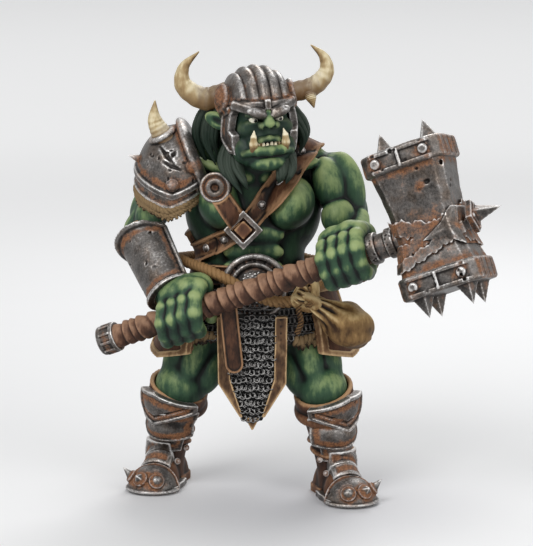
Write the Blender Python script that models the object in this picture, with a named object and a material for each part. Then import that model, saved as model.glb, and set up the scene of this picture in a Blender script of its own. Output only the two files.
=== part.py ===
"""Painted display miniature of a horned, tusked brute with a two-handed hammer.

The figure is built as the kit of castings that it is glued up from: body, limbs, armour, straps,
belt gear, head and weapon, each seated on its neighbours with a small fitting gap.
Sizes below are millimetres; MM turns them into Blender's metres. +X is the figure's left,
-Y its front and +Z up. Right and left in the names are the figure's own.
"""

import math

import bmesh
import bpy
from mathutils import Matrix, Vector
from mathutils.bvhtree import BVHTree

MM = 0.001

# Fits and wall thicknesses
CLEARANCE = 0.3
PLATE = 1.1
LEATHER = 1.0
MAIL = 1.2
GRAIN = 0.75
CUT_GRAIN = 0.55
FINE_GRAIN = 0.3
CUT_MARGIN = 0.3
ROOM_FACES = 380
PEG_RADIUS = 1.3
PEG_LENGTH = 3.0

# Skeleton
RIGHT_SHOULDER = Vector((-17.0, 1.0, 63.5))
RIGHT_ELBOW = Vector((-22.6, 0.5, 52.6))
RIGHT_WRIST = Vector((-16.6, -10.6, 42.4))
LEFT_SHOULDER = Vector((15.8, 0.5, 63.5))
LEFT_ELBOW = Vector((19.2, -2.6, 49.0))
LEFT_WRIST = Vector((18.0, -17.6, 50.2))
RIGHT_HIP = Vector((-8.2, 0.0, 36.0))
RIGHT_KNEE = Vector((-15.0, -1.8, 19.0))
RIGHT_ANKLE = Vector((-18.0, 5.2, 5.5))
LEFT_HIP = Vector((8.2, -0.5, 36.0))
LEFT_KNEE = Vector((13.4, -5.4, 19.0))
LEFT_ANKLE = Vector((16.0, -5.0, 5.5))
NECK = Vector((0.3, -5.0, 68.0))
HEAD_CENTRE = Vector((0.4, -8.6, 75.2))
HEAD_YAW = 16.0
HEAD_NOD = 4.0
HEAD_ROLL = -3.5

# Body
CHEST_WIDTH = 25.6
CHEST_DEPTH = 16.8
WAIST_WIDTH = 21.6
WAIST_DEPTH = 16.0
HIP_WIDTH = 24.5
HIP_DEPTH = 17.0
NECK_RADIUS = 5.6
DELTOID_RADIUS = 5.4
UPPER_ARM_RADIUS = 4.3
ELBOW_RADIUS = 3.7
FOREARM_RADIUS = 3.7
WRIST_RADIUS = 2.6
HIP_RADIUS = 6.4
THIGH_RADIUS = 6.0
KNEE_RADIUS = 4.9

# Boots
CUFF_RADIUS = 6.3
CUFF_HEIGHT = 22.5
ANKLE_RADIUS = 3.5
FOOT_LENGTH = 17.2
FOOT_WIDTH = 8.8
TOE_HEIGHT = 4.2
INSTEP_HEIGHT = 8.2
SOLE_EDGE = 1.0
RIGHT_TOE_OUT = 18.0
LEFT_TOE_OUT = 21.0
TOE_SPIKE_LENGTH = 2.4
TOE_SPIKE_RADIUS = 1.0

# Hammer, in its own frame: x along the haft from the pommel, z along the head
HAFT_FOOT = Vector((-29.9, -8.5, 31.8))
HAFT_YAW = -18.0
HAFT_RISE = 20.7
HAMMER_ROLL = -8.0
HAFT_LENGTH = 68.6
HAFT_RADIUS = 1.6
GRIP_RADIUS = 2.35
GRIP_RIDGE = 0.3
GRIP_PITCH = 2.05
GRIP_START = 3.4
GRIP_SPLIT = 19.6
GRIP_END = 58.0
POMMEL_RADIUS = 3.0
POMMEL_LENGTH = 3.2
COLLAR_RADIUS = 2.85
COLLAR_LENGTH = 5.2
BLOCK_LENGTH = 14.4
BLOCK_DEPTH = 12.4
BLOCK_TOP = 11.6
BLOCK_BOTTOM = 7.4
BLOCK_WAIST = 0.86
BAND_LENGTH = 16.2
BAND_DEPTH = 14.8
BAND_HEIGHT = 4.2
HAMMER_SPIKE_LENGTH = 4.0
HAMMER_SPIKE_RADIUS = 1.7
END_SPIKE_LENGTH = 5.0
STRAP_RAISE = 0.9
STRAP_WIDTH = 6.4

# Hands, gripping the haft
RIGHT_GRASP = 19.6
LEFT_GRASP = 53.8
FINGER_RADIUS = 1.35
FINGER_STEP = 2.55
PALM_RADIUS = 3.6

# Right arm armour
BRACER_TOP_RADIUS = 5.1
BRACER_END_RADIUS = 4.4
BRACER_WALL = 0.9
PAULDRON_CENTRE = Vector((-15.4, 0.0, 63.6))
PAULDRON_RADII = Vector((8.2, 10.4, 10.2))
LAME_DROP = 2.4
FUR_DROP = 2.2
PAULDRON_HORN_LENGTH = 8.6
PAULDRON_HORN_RADIUS = 2.0

# Straps and belt gear
BALDRIC_WIDTH = 4.7
CHEST_STRAP_WIDTH = 4.4
BUCKLE_SIDE = 4.8
BUCKLE_BAR = 0.9
MEDALLION_RADIUS = 3.1
MEDALLION_THICK = 1.5
MEDALLION_LIFT = 0.8
BELT_HEIGHT = 44.0
BELT_WIDTH = 4.0
BELT_BUCKLE_RADIUS = 6.7
BELT_BUCKLE_THICK = 1.6
BUCKLE_BACK = 0.6
BUCKLE_DROP = 1.2
ROPE_RADIUS = 0.95
APRON_WIDTH = 12.8
APRON_TOP = BELT_HEIGHT - 7.4
APRON_SHOULDER = BELT_HEIGHT - 19.4
APRON_TIP = BELT_HEIGHT - 28.0
APRON_Y = -12.0
BORDER_WIDTH = 1.8
TONGUE_WIDTH = 3.4
TONGUE_LENGTH = 12.5
SKIRT_TOP = BELT_HEIGHT - 2.6
SKIRT_HEM = BELT_HEIGHT - 12.0
SKIRT_TUFT = 0.7
SKIRT_COLUMNS = 48
SKIRT_ROWS = 4
TONGUE_LEAN = 6.0
TASSET_LENGTH = 15.0
POUCH_RADIUS = 4.6
POUCH_LENGTH = 11.0

# Head
SKULL_RADIUS = 5.9
JAW_WIDTH = 10.6
HELMET_WALL = 1.0
HORN_RADIUS = 2.05
TUSK_LENGTH = 2.9
TUSK_RADIUS = 0.8

# Paint, as linear colour, roughness and metallic value
PAINTS = {
    "skin": ((0.06, 0.13, 0.05), 0.55, 0.0),
    "dark_hair": ((0.03, 0.06, 0.035), 0.6, 0.0),
    "steel": ((0.30, 0.30, 0.30), 0.42, 0.8),
    "leather": ((0.16, 0.075, 0.04), 0.6, 0.0),
    "tan_leather": ((0.36, 0.24, 0.11), 0.6, 0.0),
    "bone": ((0.55, 0.45, 0.27), 0.5, 0.0),
    "rope": ((0.34, 0.20, 0.08), 0.7, 0.0),
    "mail": ((0.16, 0.16, 0.16), 0.45, 0.8),
    "fur": ((0.30, 0.22, 0.12), 0.8, 0.0),
}

castings = []
rooms = []


# Mesh helpers


def paint(name):
    """The shared material of one paint."""
    material = bpy.data.materials.get(name)
    if material is None:
        colour, roughness, metallic = PAINTS[name]
        material = bpy.data.materials.new(name)
        material.use_nodes = True
        shader = material.node_tree.nodes["Principled BSDF"]
        shader.inputs["Base Color"].default_value = (*colour, 1.0)
        shader.inputs["Roughness"].default_value = roughness
        shader.inputs["Metallic"].default_value = metallic
        material.diffuse_color = (*colour, 1.0)
    return material


def solid(name, bm, colour):
    """A named object from a bmesh in millimetres, which it frees."""
    bmesh.ops.recalc_face_normals(bm, faces=bm.faces)
    bmesh.ops.scale(bm, vec=(MM, MM, MM), verts=bm.verts)
    mesh = bpy.data.meshes.new(name)
    bm.to_mesh(mesh)
    bm.free()
    obj = bpy.data.objects.new(name, mesh)
    obj.data.materials.append(paint(colour))
    bpy.context.scene.collection.objects.link(obj)
    return obj


def discard(obj):
    mesh = obj.data
    bpy.data.objects.remove(obj)
    bpy.data.meshes.remove(mesh)


def apply_modifiers(obj):
    """Replaces the object's mesh by its evaluated one."""
    graph = bpy.context.evaluated_depsgraph_get()
    mesh = bpy.data.meshes.new_from_object(obj.evaluated_get(graph))
    obj.modifiers.clear()
    old = obj.data
    obj.data = mesh
    mesh.name = obj.name
    bpy.data.meshes.remove(old)


def islands(bm):
    """The connected groups of faces."""
    waiting = set(bm.faces)
    groups = []
    while waiting:
        group = [waiting.pop()]
        for face in group:
            for edge in face.edges:
                for other in edge.link_faces:
                    if other in waiting:
                        waiting.remove(other)
                        group.append(other)
        groups.append(group)
    return groups


def keep_main_body(obj):
    """Removes the loose crumbs that a cut leaves, and the sliver faces."""
    bm = bmesh.new()
    bm.from_mesh(obj.data)
    bmesh.ops.remove_doubles(bm, verts=bm.verts, dist=0.01 * MM)
    bmesh.ops.dissolve_degenerate(bm, edges=bm.edges, dist=0.01 * MM)
    groups = islands(bm)
    if len(groups) > 1:
        groups.sort(key=lambda group: sum(face.calc_area() for face in group))
        crumbs = [face for group in groups[:-1] for face in group]
        bmesh.ops.delete(bm, geom=crumbs, context="FACES")
    rims = [edge for edge in bm.edges if edge.is_boundary]
    if rims:
        bmesh.ops.holes_fill(bm, edges=rims, sides=0)
    bmesh.ops.triangulate(bm, faces=bm.faces)
    bmesh.ops.recalc_face_normals(bm, faces=bm.faces)
    bm.to_mesh(obj.data)
    bm.free()


def boolean(obj, other, operation):
    """Cuts or joins obj by other at once."""
    modifier = obj.modifiers.new(operation.lower(), "BOOLEAN")
    modifier.operation = operation
    modifier.solver = "EXACT"
    modifier.object = other
    apply_modifiers(obj)
    keep_main_body(obj)


def melt(obj, grain, faces, ease=0):
    """Fuses all that obj's mesh holds into one closed skin of about so many triangles."""
    fuse = obj.modifiers.new("fuse", "REMESH")
    fuse.mode = "VOXEL"
    fuse.voxel_size = grain * MM
    if ease:
        smooth = obj.modifiers.new("ease", "SMOOTH")
        smooth.factor = 0.5
        smooth.iterations = ease
    apply_modifiers(obj)
    thin(obj, faces)


def thin(obj, faces):
    """Brings the mesh down to about so many triangles."""
    count = sum(len(polygon.vertices) - 2 for polygon in obj.data.polygons)
    if count > faces:
        decimate = obj.modifiers.new("thin", "DECIMATE")
        decimate.ratio = faces / count
        apply_modifiers(obj)
    keep_main_body(obj)


def room_for(obj):
    """A solid that holds obj and the fitting gap round it, for cutting its neighbours clear."""
    bm = bmesh.new()
    bm.from_mesh(obj.data)
    bm.normal_update()
    gap = (CLEARANCE + CUT_MARGIN) * MM
    moves = [vert.normal * (min(vert.calc_shell_factor(), 2.0) * gap) for vert in bm.verts]
    for vert, move in zip(bm.verts, moves):
        vert.co += move
    mesh = bpy.data.meshes.new(obj.name + "_room")
    bm.to_mesh(mesh)
    bm.free()
    room = bpy.data.objects.new(mesh.name, mesh)
    bpy.context.scene.collection.objects.link(room)
    melt(room, CUT_GRAIN, max(ROOM_FACES, len(obj.data.polygons)))
    return room


def tree_of(obj):
    bm = bmesh.new()
    bm.from_mesh(obj.data)
    tree = BVHTree.FromBMesh(bm)
    bm.free()
    return tree


def far_apart(obj, other):
    """Whether the two boxes lie clear of each other."""
    for axis in range(3):
        ours = [corner[axis] for corner in obj.bound_box]
        theirs = [corner[axis] for corner in other.bound_box]
        if min(ours) > max(theirs) or min(theirs) > max(ours):
            return True
    return False


def settle(obj, faces=328):
    """Seats a casting on all those made before it, and files it."""
    for room in rooms:
        if not far_apart(obj, room) and tree_of(obj).overlap(tree_of(room)):
            boolean(obj, room, "DIFFERENCE")
    thin(obj, faces)
    for share in (1.0, 1.3, 1.6, 2.0):
        if not closed(obj):
            melt(obj, FINE_GRAIN, round(faces * share))
    return fitted(obj)


def closed(obj):
    """Whether each edge has a face on either side once points that all but touch are welded."""
    bm = bmesh.new()
    bm.from_mesh(obj.data)
    bmesh.ops.remove_doubles(bm, verts=bm.verts, dist=0.001 * MM)
    whole = all(edge.is_manifold for edge in bm.edges)
    bm.free()
    return whole


def fitted(obj):
    """Files a casting that fits its neighbours as it is, with the room it takes."""
    castings.append(obj)
    rooms.append(room_for(obj))
    return obj


# Shape builders, in millimetres


def frame_along(direction, up=Vector((0, 0, 1))):
    """A rotation whose z runs along direction."""
    z = Vector(direction).normalized()
    side = up.cross(z)
    if side.length < 1e-4:
        side = Vector((1, 0, 0))
    x = side.normalized()
    return Matrix((x, z.cross(x), z)).transposed().to_4x4()


def add_lump(bm, centre, radii, turn=None):
    """An ellipsoid."""
    place = Matrix.Translation(centre) @ (turn or Matrix.Identity(4))
    scale = Matrix.Diagonal((*radii, 1.0))
    bmesh.ops.create_icosphere(bm, subdivisions=3, radius=1.0, matrix=place @ scale)


def add_turned(bm, profile, place, sides=16):
    """A surface of revolution about place's z. The profile lists (height, radius) from end to end."""
    rings = []
    for height, radius in profile:
        if radius < 1e-6:
            rings.append([bm.verts.new(place @ Vector((0, 0, height)))])
            continue
        angles = [math.tau * k / sides for k in range(sides)]
        rings.append(
            [
                bm.verts.new(place @ Vector((radius * math.cos(a), radius * math.sin(a), height)))
                for a in angles
            ]
        )
    join_rings(bm, rings, closed=False)


def join_rings(bm, rings, closed):
    """Skins a row of rings, whose ends may be single points, and caps open ends."""
    pairs = list(zip(rings, rings[1:]))
    if closed:
        pairs.append((rings[-1], rings[0]))
    for lower, upper in pairs:
        count = max(len(lower), len(upper))
        for k in range(count):
            corners = [lower[k % len(lower)], lower[(k + 1) % len(lower)]]
            corners += [upper[(k + 1) % len(upper)], upper[k % len(upper)]]
            unique = list(dict.fromkeys(corners))
            if len(unique) > 2:
                bm.faces.new(unique)
    if not closed:
        for ring in (rings[0], rings[-1]):
            if len(ring) > 2:
                bm.faces.new(ring)


def capsule_profile(length, foot, head, steps=5):
    """A tapered rod with round ends, along its axis."""
    quarter = [math.pi / 2 * k / steps for k in range(steps + 1)]
    below = [(-foot * math.cos(a), foot * math.sin(a)) for a in quarter]
    above = [(length + head * math.sin(a), head * math.cos(a)) for a in quarter]
    return below + above


def add_limb(bm, start, end, start_radius, end_radius):
    """A tapered rod with round ends between two points."""
    along = Vector(end) - Vector(start)
    place = Matrix.Translation(start) @ frame_along(along)
    add_turned(bm, capsule_profile(along.length, start_radius, end_radius), place)


def flesh(name, colour, lumps=(), limbs=(), faces=600, grain=GRAIN):
    """An organic casting: its lumps and limbs melted into one skin and thinned out."""
    bm = bmesh.new()
    for lump in lumps:
        add_lump(bm, *lump)
    for limb in limbs:
        add_limb(bm, *limb)
    obj = solid(name, bm, colour)
    melt(obj, grain, faces, ease=3)
    return obj


def turned(name, colour, profile, place, sides=20):
    bm = bmesh.new()
    add_turned(bm, profile, place, sides)
    return solid(name, bm, colour)


def ring(name, colour, profile, place, sides=24):
    """A hollow surface of revolution from a closed profile of (height, radius)."""
    bm = bmesh.new()
    rings = []
    angles = [math.tau * k / sides for k in range(sides)]
    for height, radius in profile:
        rings.append(
            [
                bm.verts.new(place @ Vector((radius * math.cos(a), radius * math.sin(a), height)))
                for a in angles
            ]
        )
    join_rings(bm, rings, closed=True)
    return solid(name, bm, colour)


def smooth_path(points, count):
    """Evenly numbered points on a smooth curve through the given ones."""
    points = [Vector(p) for p in points]
    ends = [2 * points[0] - points[1], *points, 2 * points[-1] - points[-2]]
    path = []
    for k in range(count):
        t = k * (len(points) - 1) / (count - 1)
        i = min(int(t), len(points) - 2)
        u = t - i
        a, b, c, d = ends[i : i + 4]
        path.append(
            0.5 * (2 * b + (c - a) * u + (2 * a - 5 * b + 4 * c - d) * u**2 + (3 * b - a - 3 * c + d) * u**3)
        )
    return path


def horn(name, colour, points, radii, count=9, sides=12):
    """A curved, tapering tube along a smooth path; its radius is read along the list of radii."""
    path = smooth_path(points, count)
    bm = bmesh.new()
    rings = []
    for k, point in enumerate(path):
        along = path[min(k + 1, count - 1)] - path[max(k - 1, 0)]
        turn = frame_along(along, Vector((0, 1, 0)))
        t = k * (len(radii) - 1) / (count - 1)
        i = min(int(t), len(radii) - 2)
        radius = radii[i] + (radii[i + 1] - radii[i]) * (t - i)
        angles = [math.tau * j / sides for j in range(sides)]
        rings.append(
            [
                bm.verts.new(point + turn @ Vector((radius * math.cos(a), radius * math.sin(a), 0)))
                for a in angles
            ]
        )
    join_rings(bm, rings, closed=False)
    return solid(name, bm, colour)


def shell(name, colour, surface, rows, columns, wall, wrap=False):
    """A curved plate. surface(u, v) gives a point of its outer face and the way out of it there."""
    bm = bmesh.new()
    outer, inner = [], []
    for i in range(rows + 1):
        u = i / rows
        steps = columns if wrap else columns + 1
        points = [surface(u, j / columns) for j in range(steps)]
        outer.append([bm.verts.new(point) for point, out in points])
        inner.append([bm.verts.new(point - out.normalized() * wall) for point, out in points])
    skin_grid(bm, outer, wrap)
    skin_grid(bm, inner, wrap)
    for row_out, row_in in ((outer[0], inner[0]), (outer[-1], inner[-1])):
        skin_grid(bm, [row_out, row_in], wrap)
    if not wrap:
        for side in (0, -1):
            skin_grid(bm, [[row[side] for row in outer], [row[side] for row in inner]], False)
    return solid(name, bm, colour)


def skin_grid(bm, grid, wrap):
    for lower, upper in zip(grid, grid[1:]):
        steps = len(lower) if wrap else len(lower) - 1
        for j in range(steps):
            k = (j + 1) % len(lower)
            bm.faces.new((lower[j], lower[k], upper[k], upper[j]))


def box(name, colour, size, place, bevel=0.0, taper=1.0):
    """A block, its upper end drawn in by taper and its edges rounded by bevel."""
    bm = bmesh.new()
    bmesh.ops.create_cube(bm, size=1.0)
    for vert in bm.verts:
        narrow = taper if vert.co.z > 0 else 1.0
        vert.co = Vector((vert.co.x * size[0] * narrow, vert.co.y * size[1] * narrow, vert.co.z * size[2]))
    if bevel:
        bmesh.ops.bevel(bm, geom=bm.edges, offset=bevel, segments=1, affect="EDGES", profile=0.5)
    bm.transform(place)
    return solid(name, bm, colour)


def join(obj, *others):
    for other in others:
        boolean(obj, other, "UNION")
        discard(other)
    return obj


def cut(obj, *cutters):
    for cutter in cutters:
        boolean(obj, cutter, "DIFFERENCE")
        discard(cutter)
    return obj


def half_space(point, normal):
    """A large block whose face passes through point and which lies on the side that normal points to."""
    reach = 200.0
    bm = bmesh.new()
    place = Matrix.Translation(Vector(point)) @ frame_along(normal)
    bmesh.ops.create_cube(bm, size=reach, matrix=place @ Matrix.Translation((0, 0, reach / 2)))
    return solid("half_space", bm, "steel")


def peg(piece, seat, root, direction):
    """A round locating peg on piece, and its socket in seat."""
    place = Matrix.Translation(Vector(root)) @ frame_along(direction)
    rod = [(-PEG_LENGTH, 0), (-PEG_LENGTH, PEG_RADIUS), (PEG_LENGTH, PEG_RADIUS), (PEG_LENGTH, 0)]
    reach, bore = PEG_LENGTH + CLEARANCE, PEG_RADIUS + CLEARANCE
    hole = [(-PEG_LENGTH, 0), (-PEG_LENGTH, bore), (reach, bore), (reach, 0)]
    cut(seat, turned("socket", "steel", hole, place, 12))
    join(piece, turned("peg", "steel", rod, place, 12))


# Body and limbs


def make_torso():
    half, deep = CHEST_WIDTH / 2, CHEST_DEPTH / 2
    waist, belly = WAIST_WIDTH / 2, WAIST_DEPTH / 2
    shoulders = (RIGHT_SHOULDER + LEFT_SHOULDER) / 2
    chest = shoulders + Vector((0.4, 0.0, -6.3))
    navel = chest + Vector((-0.4, -0.4, -10.2))
    hips = navel + Vector((0.4, -0.2, -5.4))
    lumps = [
        (chest, (half, deep, 11.2)),
        (navel, (waist, belly, 9.0)),
        (hips, (waist + 0.4, belly, 5.5)),
    ]
    for side in (-1, 1):
        breast = chest + Vector((side * 7.0, 2.3 - deep, 1.5))
        lumps.append((breast, (7.0, 4.4, 5.0)))
        lumps.append((breast + Vector((-side * 1.2, -1.2, -1.8)), (5.2, 3.2, 3.0)))
        lumps.append((chest + Vector((side * (half - 2.5), 1.4, -0.8)), (4.1, 5.6, 7.9)))
        lumps.append((chest + Vector((side * 7.0, 1.2, 9.4)), (7.6, 5.0, 3.4)))
        lumps.append((chest + Vector((side * 6.2, deep - 2.2, 2.8)), (5.2, 2.8, 6.0)))
        lumps.append((navel + Vector((side * 4.4, belly - 1.8, 2.0)), (3.6, 2.4, 8.0)))
        lumps.append((hips + Vector((side * (waist - 1.6), -2.2, 2.0)), (2.6, 4.2, 3.4)))
        for rise in (5.6, 2.3, -1.0):
            lumps.append((navel + Vector((side * 2.7, -belly, rise)), (2.5, 1.1, 1.6)))
    neck = [(chest + Vector((0, 0, 6)), NECK + Vector((0, 0, 0.5)), NECK_RADIUS + 1, NECK_RADIUS - 0.6)]
    torso = flesh("torso", "skin", lumps, neck, faces=920)
    cut(torso, half_space(NECK + Vector((0, 0, 1.5)), (0, -0.25, 1)))
    return settle(torso, 920)


def make_pelvis():
    hips = (RIGHT_HIP + LEFT_HIP) / 2
    lumps = [(hips + Vector((0, 0, 1.0)), (HIP_WIDTH / 2, HIP_DEPTH / 2, 6.5))]
    return settle(flesh("pelvis", "leather", lumps, faces=220))


def make_thigh(name, hip, knee, pelvis):
    along = knee - hip
    bulge = hip + along * 0.42 + Vector((0, -1.2, 0))
    lumps = [(bulge, (THIGH_RADIUS, THIGH_RADIUS, 7.0), frame_along(along))]
    limbs = [(hip, knee, HIP_RADIUS, KNEE_RADIUS)]
    thigh = flesh(name, "skin", lumps, limbs, faces=260)
    settle(thigh)
    peg(thigh, pelvis, hip + along.normalized() * 3.0 + Vector((0, 0, 1)), (0, 0, 1))
    return thigh


def foot_frame(ankle, toe_out):
    """The foot's own frame on the floor: x out to the figure's left, -y to the toe."""
    turn = Matrix.Rotation(math.radians(toe_out), 4, "Z")
    behind = turn @ Vector((0, FOOT_LENGTH * 0.32, 0))
    heel = Vector((ankle.x, ankle.y, 0)) + behind
    return Matrix.Translation(heel) @ turn


def make_boot(name, knee, ankle, toe_out):
    """A leather boot with a wide cuff: a turned shaft on a tapering foot with a flat sole."""
    frame = foot_frame(ankle, toe_out)
    shaft_axis = knee + Vector((0, 0, CUFF_HEIGHT - knee.z)) - ankle
    half = FOOT_WIDTH / 2
    lumps = []
    for along, width, height in (
        (0.16, 0.80, INSTEP_HEIGHT * 0.75),
        (0.34, 0.82, INSTEP_HEIGHT),
        (0.56, 0.90, INSTEP_HEIGHT * 0.80),
        (0.78, 1.00, TOE_HEIGHT),
    ):
        centre = frame @ Vector((0, -along * FOOT_LENGTH, 0.4))
        turn = frame.to_3x3().to_4x4()
        lumps.append((centre, (half * width, FOOT_LENGTH * 0.22, height), turn))
    bend = ankle + shaft_axis * 0.45
    limbs = [
        (ankle, bend, ANKLE_RADIUS, ANKLE_RADIUS + 0.6),
        (bend, ankle + shaft_axis * 0.8, ANKLE_RADIUS + 0.5, CUFF_RADIUS - 0.4),
        (ankle + shaft_axis * 0.8, ankle + shaft_axis * 1.2, CUFF_RADIUS - 0.4, CUFF_RADIUS),
    ]
    boot = flesh(name, "leather", lumps, limbs, faces=380)
    skin = tree_of(boot)
    cut(boot, half_space((0, 0, 0), (0, 0, -1)))
    cut(boot, half_space(ankle + shaft_axis, shaft_axis))
    settle(boot)
    level_sole(boot)
    return skin


def level_sole(boot):
    """Brings the lowest points of a boot back to the floor, so that it stands flat."""
    for vertex in boot.data.vertices:
        if vertex.co.z < SOLE_EDGE * 0.4 * MM:
            vertex.co.z = 0.0
    boot.data.update()


def shaft_surface(skin, knee, ankle, toe_out, low, high, spread, point, lift):
    """The outer face of a plate that wraps the front of a boot's shaft and ends below in a point."""
    axis = knee + Vector((0, 0, CUFF_HEIGHT - knee.z)) - ankle
    front = Matrix.Rotation(math.radians(toe_out * 0.7), 3, "Z") @ Vector((0, -1, 0))
    side = front.cross(Vector((0, 0, 1)))

    def surface(u, v):
        angle = math.radians(spread) * (2 * v - 1)
        share = low + (high - low) * u - point * (1 - u) * (1 - abs(2 * v - 1) ** 1.2)
        out = front * math.cos(angle) - side * math.sin(angle)
        return on_boot(skin, ankle + axis * share, out, 14.0, PLATE + CLEARANCE + lift), out

    return surface


def on_boot(skin, centre, out, reach, lift):
    """The point lift outside a boot's skin, on the ray that comes in to centre from reach away."""
    hit = skin.ray_cast((centre + out * reach) * MM, -out)[0]
    point = centre + out * CUFF_RADIUS if hit is None else hit / MM
    return point + out * lift


def make_boot_armour(side, skin, knee, ankle, toe_out):
    """Knee plate, shin plate, instep plate and spiked toe cap of one boot."""
    frame = foot_frame(ankle, toe_out)
    settle(make_toe_cap(side, frame))
    upper = shaft_surface(skin, knee, ankle, toe_out, 0.66, 0.98, 78, 0.20, 0.6)
    settle(shell(side + "_knee_plate", "steel", upper, 5, 10, PLATE))
    lower = shaft_surface(skin, knee, ankle, toe_out, 0.32, 0.62, 84, 0.04, 0.0)
    settle(shell(side + "_shin_plate", "steel", lower, 4, 10, PLATE))

    wall = PLATE + CLEARANCE

    def instep(u, v):
        angle = math.radians(78) * (2 * v - 1)
        width = FOOT_WIDTH / 2 + wall
        rise = INSTEP_HEIGHT * (1.10 - 0.36 * u) + wall
        along = -FOOT_LENGTH * (0.48 + 0.17 * u)
        point = Vector((width * math.sin(angle), along, rise * math.cos(angle)))
        out = frame.to_3x3() @ Vector((math.sin(angle), -0.3, math.cos(angle)))
        return frame @ point, out

    settle(shell(side + "_instep_plate", "steel", instep, 3, 10, PLATE))


def make_toe_cap(side, frame):
    wall = PLATE + CLEARANCE
    centre = frame @ Vector((0, -FOOT_LENGTH * 0.80, 0))
    radii = (FOOT_WIDTH / 2 + wall, FOOT_LENGTH * 0.22 + wall, TOE_HEIGHT + wall)
    turn = frame.to_3x3().to_4x4()
    cap = flesh(side + "_toe_cap", "steel", [(centre, radii, turn)], faces=200, grain=0.6)
    cut(cap, half_space((0, 0, SOLE_EDGE), (0, 0, -1)))
    cut(cap, half_space(frame @ Vector((0, -FOOT_LENGTH * 0.70, 0)), frame.to_3x3() @ Vector((0, 1, 0))))
    cone = [(-1.2, 0), (-1.2, TOE_SPIKE_RADIUS), (TOE_SPIKE_LENGTH, 0)]
    for degrees in (-38, 0, 38):
        angle = math.radians(degrees)
        out = turn.to_3x3() @ Vector((math.sin(angle), -math.cos(angle), 0.55))
        reach = Vector((radii[0] * math.sin(angle), -radii[1] * math.cos(angle), 0)) * 0.86
        root = centre + turn.to_3x3() @ reach + Vector((0, 0, TOE_HEIGHT * 0.52))
        join(cap, turned("spike", "steel", cone, Matrix.Translation(root) @ frame_along(out), 8))
    return cap


def make_arm(side, shoulder, elbow, wrist, torso):
    """Upper arm, deltoid and forearm in one casting, pegged to the torso."""
    upper, lower = elbow - shoulder, wrist - elbow
    lumps = [
        (shoulder + upper * 0.12, (DELTOID_RADIUS, DELTOID_RADIUS + 0.6, DELTOID_RADIUS + 1.2)),
        (shoulder + upper * 0.62 + Vector((0, -1.0, 0)), (UPPER_ARM_RADIUS, UPPER_ARM_RADIUS, 5.0)),
    ]
    limbs = [
        (shoulder, elbow, UPPER_ARM_RADIUS, ELBOW_RADIUS),
        (elbow, elbow + lower * 0.4, ELBOW_RADIUS, FOREARM_RADIUS),
        (elbow + lower * 0.4, wrist, FOREARM_RADIUS, WRIST_RADIUS),
    ]
    arm = flesh(side + "_arm", "skin", lumps, limbs, faces=360)
    settle(arm)
    inward = Vector((-shoulder.x, 0, 0))
    peg(arm, torso, shoulder + inward.normalized() * DELTOID_RADIUS * 0.55, inward)
    return arm


# Hammer


def hammer_frame():
    """The hammer's own frame: x up the haft, y to the back, z up the head."""
    yaw = Matrix.Rotation(math.radians(HAFT_YAW), 4, "Z")
    rise = Matrix.Rotation(math.radians(-HAFT_RISE), 4, "Y")
    roll = Matrix.Rotation(math.radians(HAMMER_ROLL), 4, "X")
    return Matrix.Translation(HAFT_FOOT) @ yaw @ rise @ roll


def along_haft(distance):
    """The frame at a distance up the haft, with z along the haft."""
    return hammer_frame() @ Matrix.Translation((distance, 0, 0)) @ Matrix.Rotation(math.radians(90), 4, "Y")


def grip(name, start, end):
    """A leather sleeve with one raised turn of strap winding along it."""
    sides = 10
    steps = max(4, round((end - start) / GRIP_PITCH * 3))
    bore = HAFT_RADIUS + CLEARANCE
    place = along_haft(0)
    bm = bmesh.new()
    rings = []
    for k in range(steps + 1):
        height = start + (end - start) * k / steps
        points = []
        for j in range(sides):
            angle = math.tau * j / sides
            phase = height / GRIP_PITCH - j / sides
            radius = GRIP_RADIUS + GRIP_RIDGE * 0.5 * (1 - math.cos(math.tau * phase))
            points.append(place @ Vector((radius * math.cos(angle), radius * math.sin(angle), height)))
        rings.append([bm.verts.new(point) for point in points])
    for height in (end, start):
        points = [
            place
            @ Vector((bore * math.cos(math.tau * j / sides), bore * math.sin(math.tau * j / sides), height))
            for j in range(sides)
        ]
        rings.append([bm.verts.new(point) for point in points])
    join_rings(bm, rings, closed=True)
    return solid(name, bm, "leather")


def make_haft():
    """Haft, its two leather grips, the pommel cap and the collar under the head."""
    core = [(POMMEL_LENGTH * 0.5, 0), (POMMEL_LENGTH * 0.5, HAFT_RADIUS)]
    core += [(HAFT_LENGTH, HAFT_RADIUS), (HAFT_LENGTH, 0)]
    haft = turned("haft", "leather", core, along_haft(0), 16)
    lower = grip("lower_grip", GRIP_START, GRIP_SPLIT - CLEARANCE / 2)
    upper = grip("upper_grip", GRIP_SPLIT + CLEARANCE / 2, GRIP_END)
    bore = HAFT_RADIUS + CLEARANCE
    cap = [(0, 0), (0, POMMEL_RADIUS * 0.8), (0.6, POMMEL_RADIUS), (POMMEL_LENGTH - 0.5, POMMEL_RADIUS)]
    cap += [(POMMEL_LENGTH, POMMEL_RADIUS * 0.9), (POMMEL_LENGTH, bore)]
    seat = POMMEL_LENGTH * 0.5 - CLEARANCE
    pommel = turned("pommel_cap", "steel", cap + [(seat, bore), (seat, 0)], along_haft(0))
    foot = GRIP_END + CLEARANCE
    steps = (0.0, 0.36, 0.40, 0.62, 0.66, 1.0)
    radii = (1.0, 1.0, 0.86, 0.86, 1.0, 1.0)
    outside = [(foot + COLLAR_LENGTH * t, COLLAR_RADIUS * r) for t, r in zip(steps, radii)]
    inside = [(foot + COLLAR_LENGTH, bore), (foot, bore)]
    collar = ring("hammer_collar", "steel", outside + inside, along_haft(0), sides=16)
    return [haft, lower, upper, pommel, collar]


def block_frame():
    """The frame at the middle of the hammer's head."""
    start = GRIP_END + COLLAR_LENGTH + 2 * CLEARANCE
    return hammer_frame() @ Matrix.Translation((start + BLOCK_LENGTH / 2, 0, 0))


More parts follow.
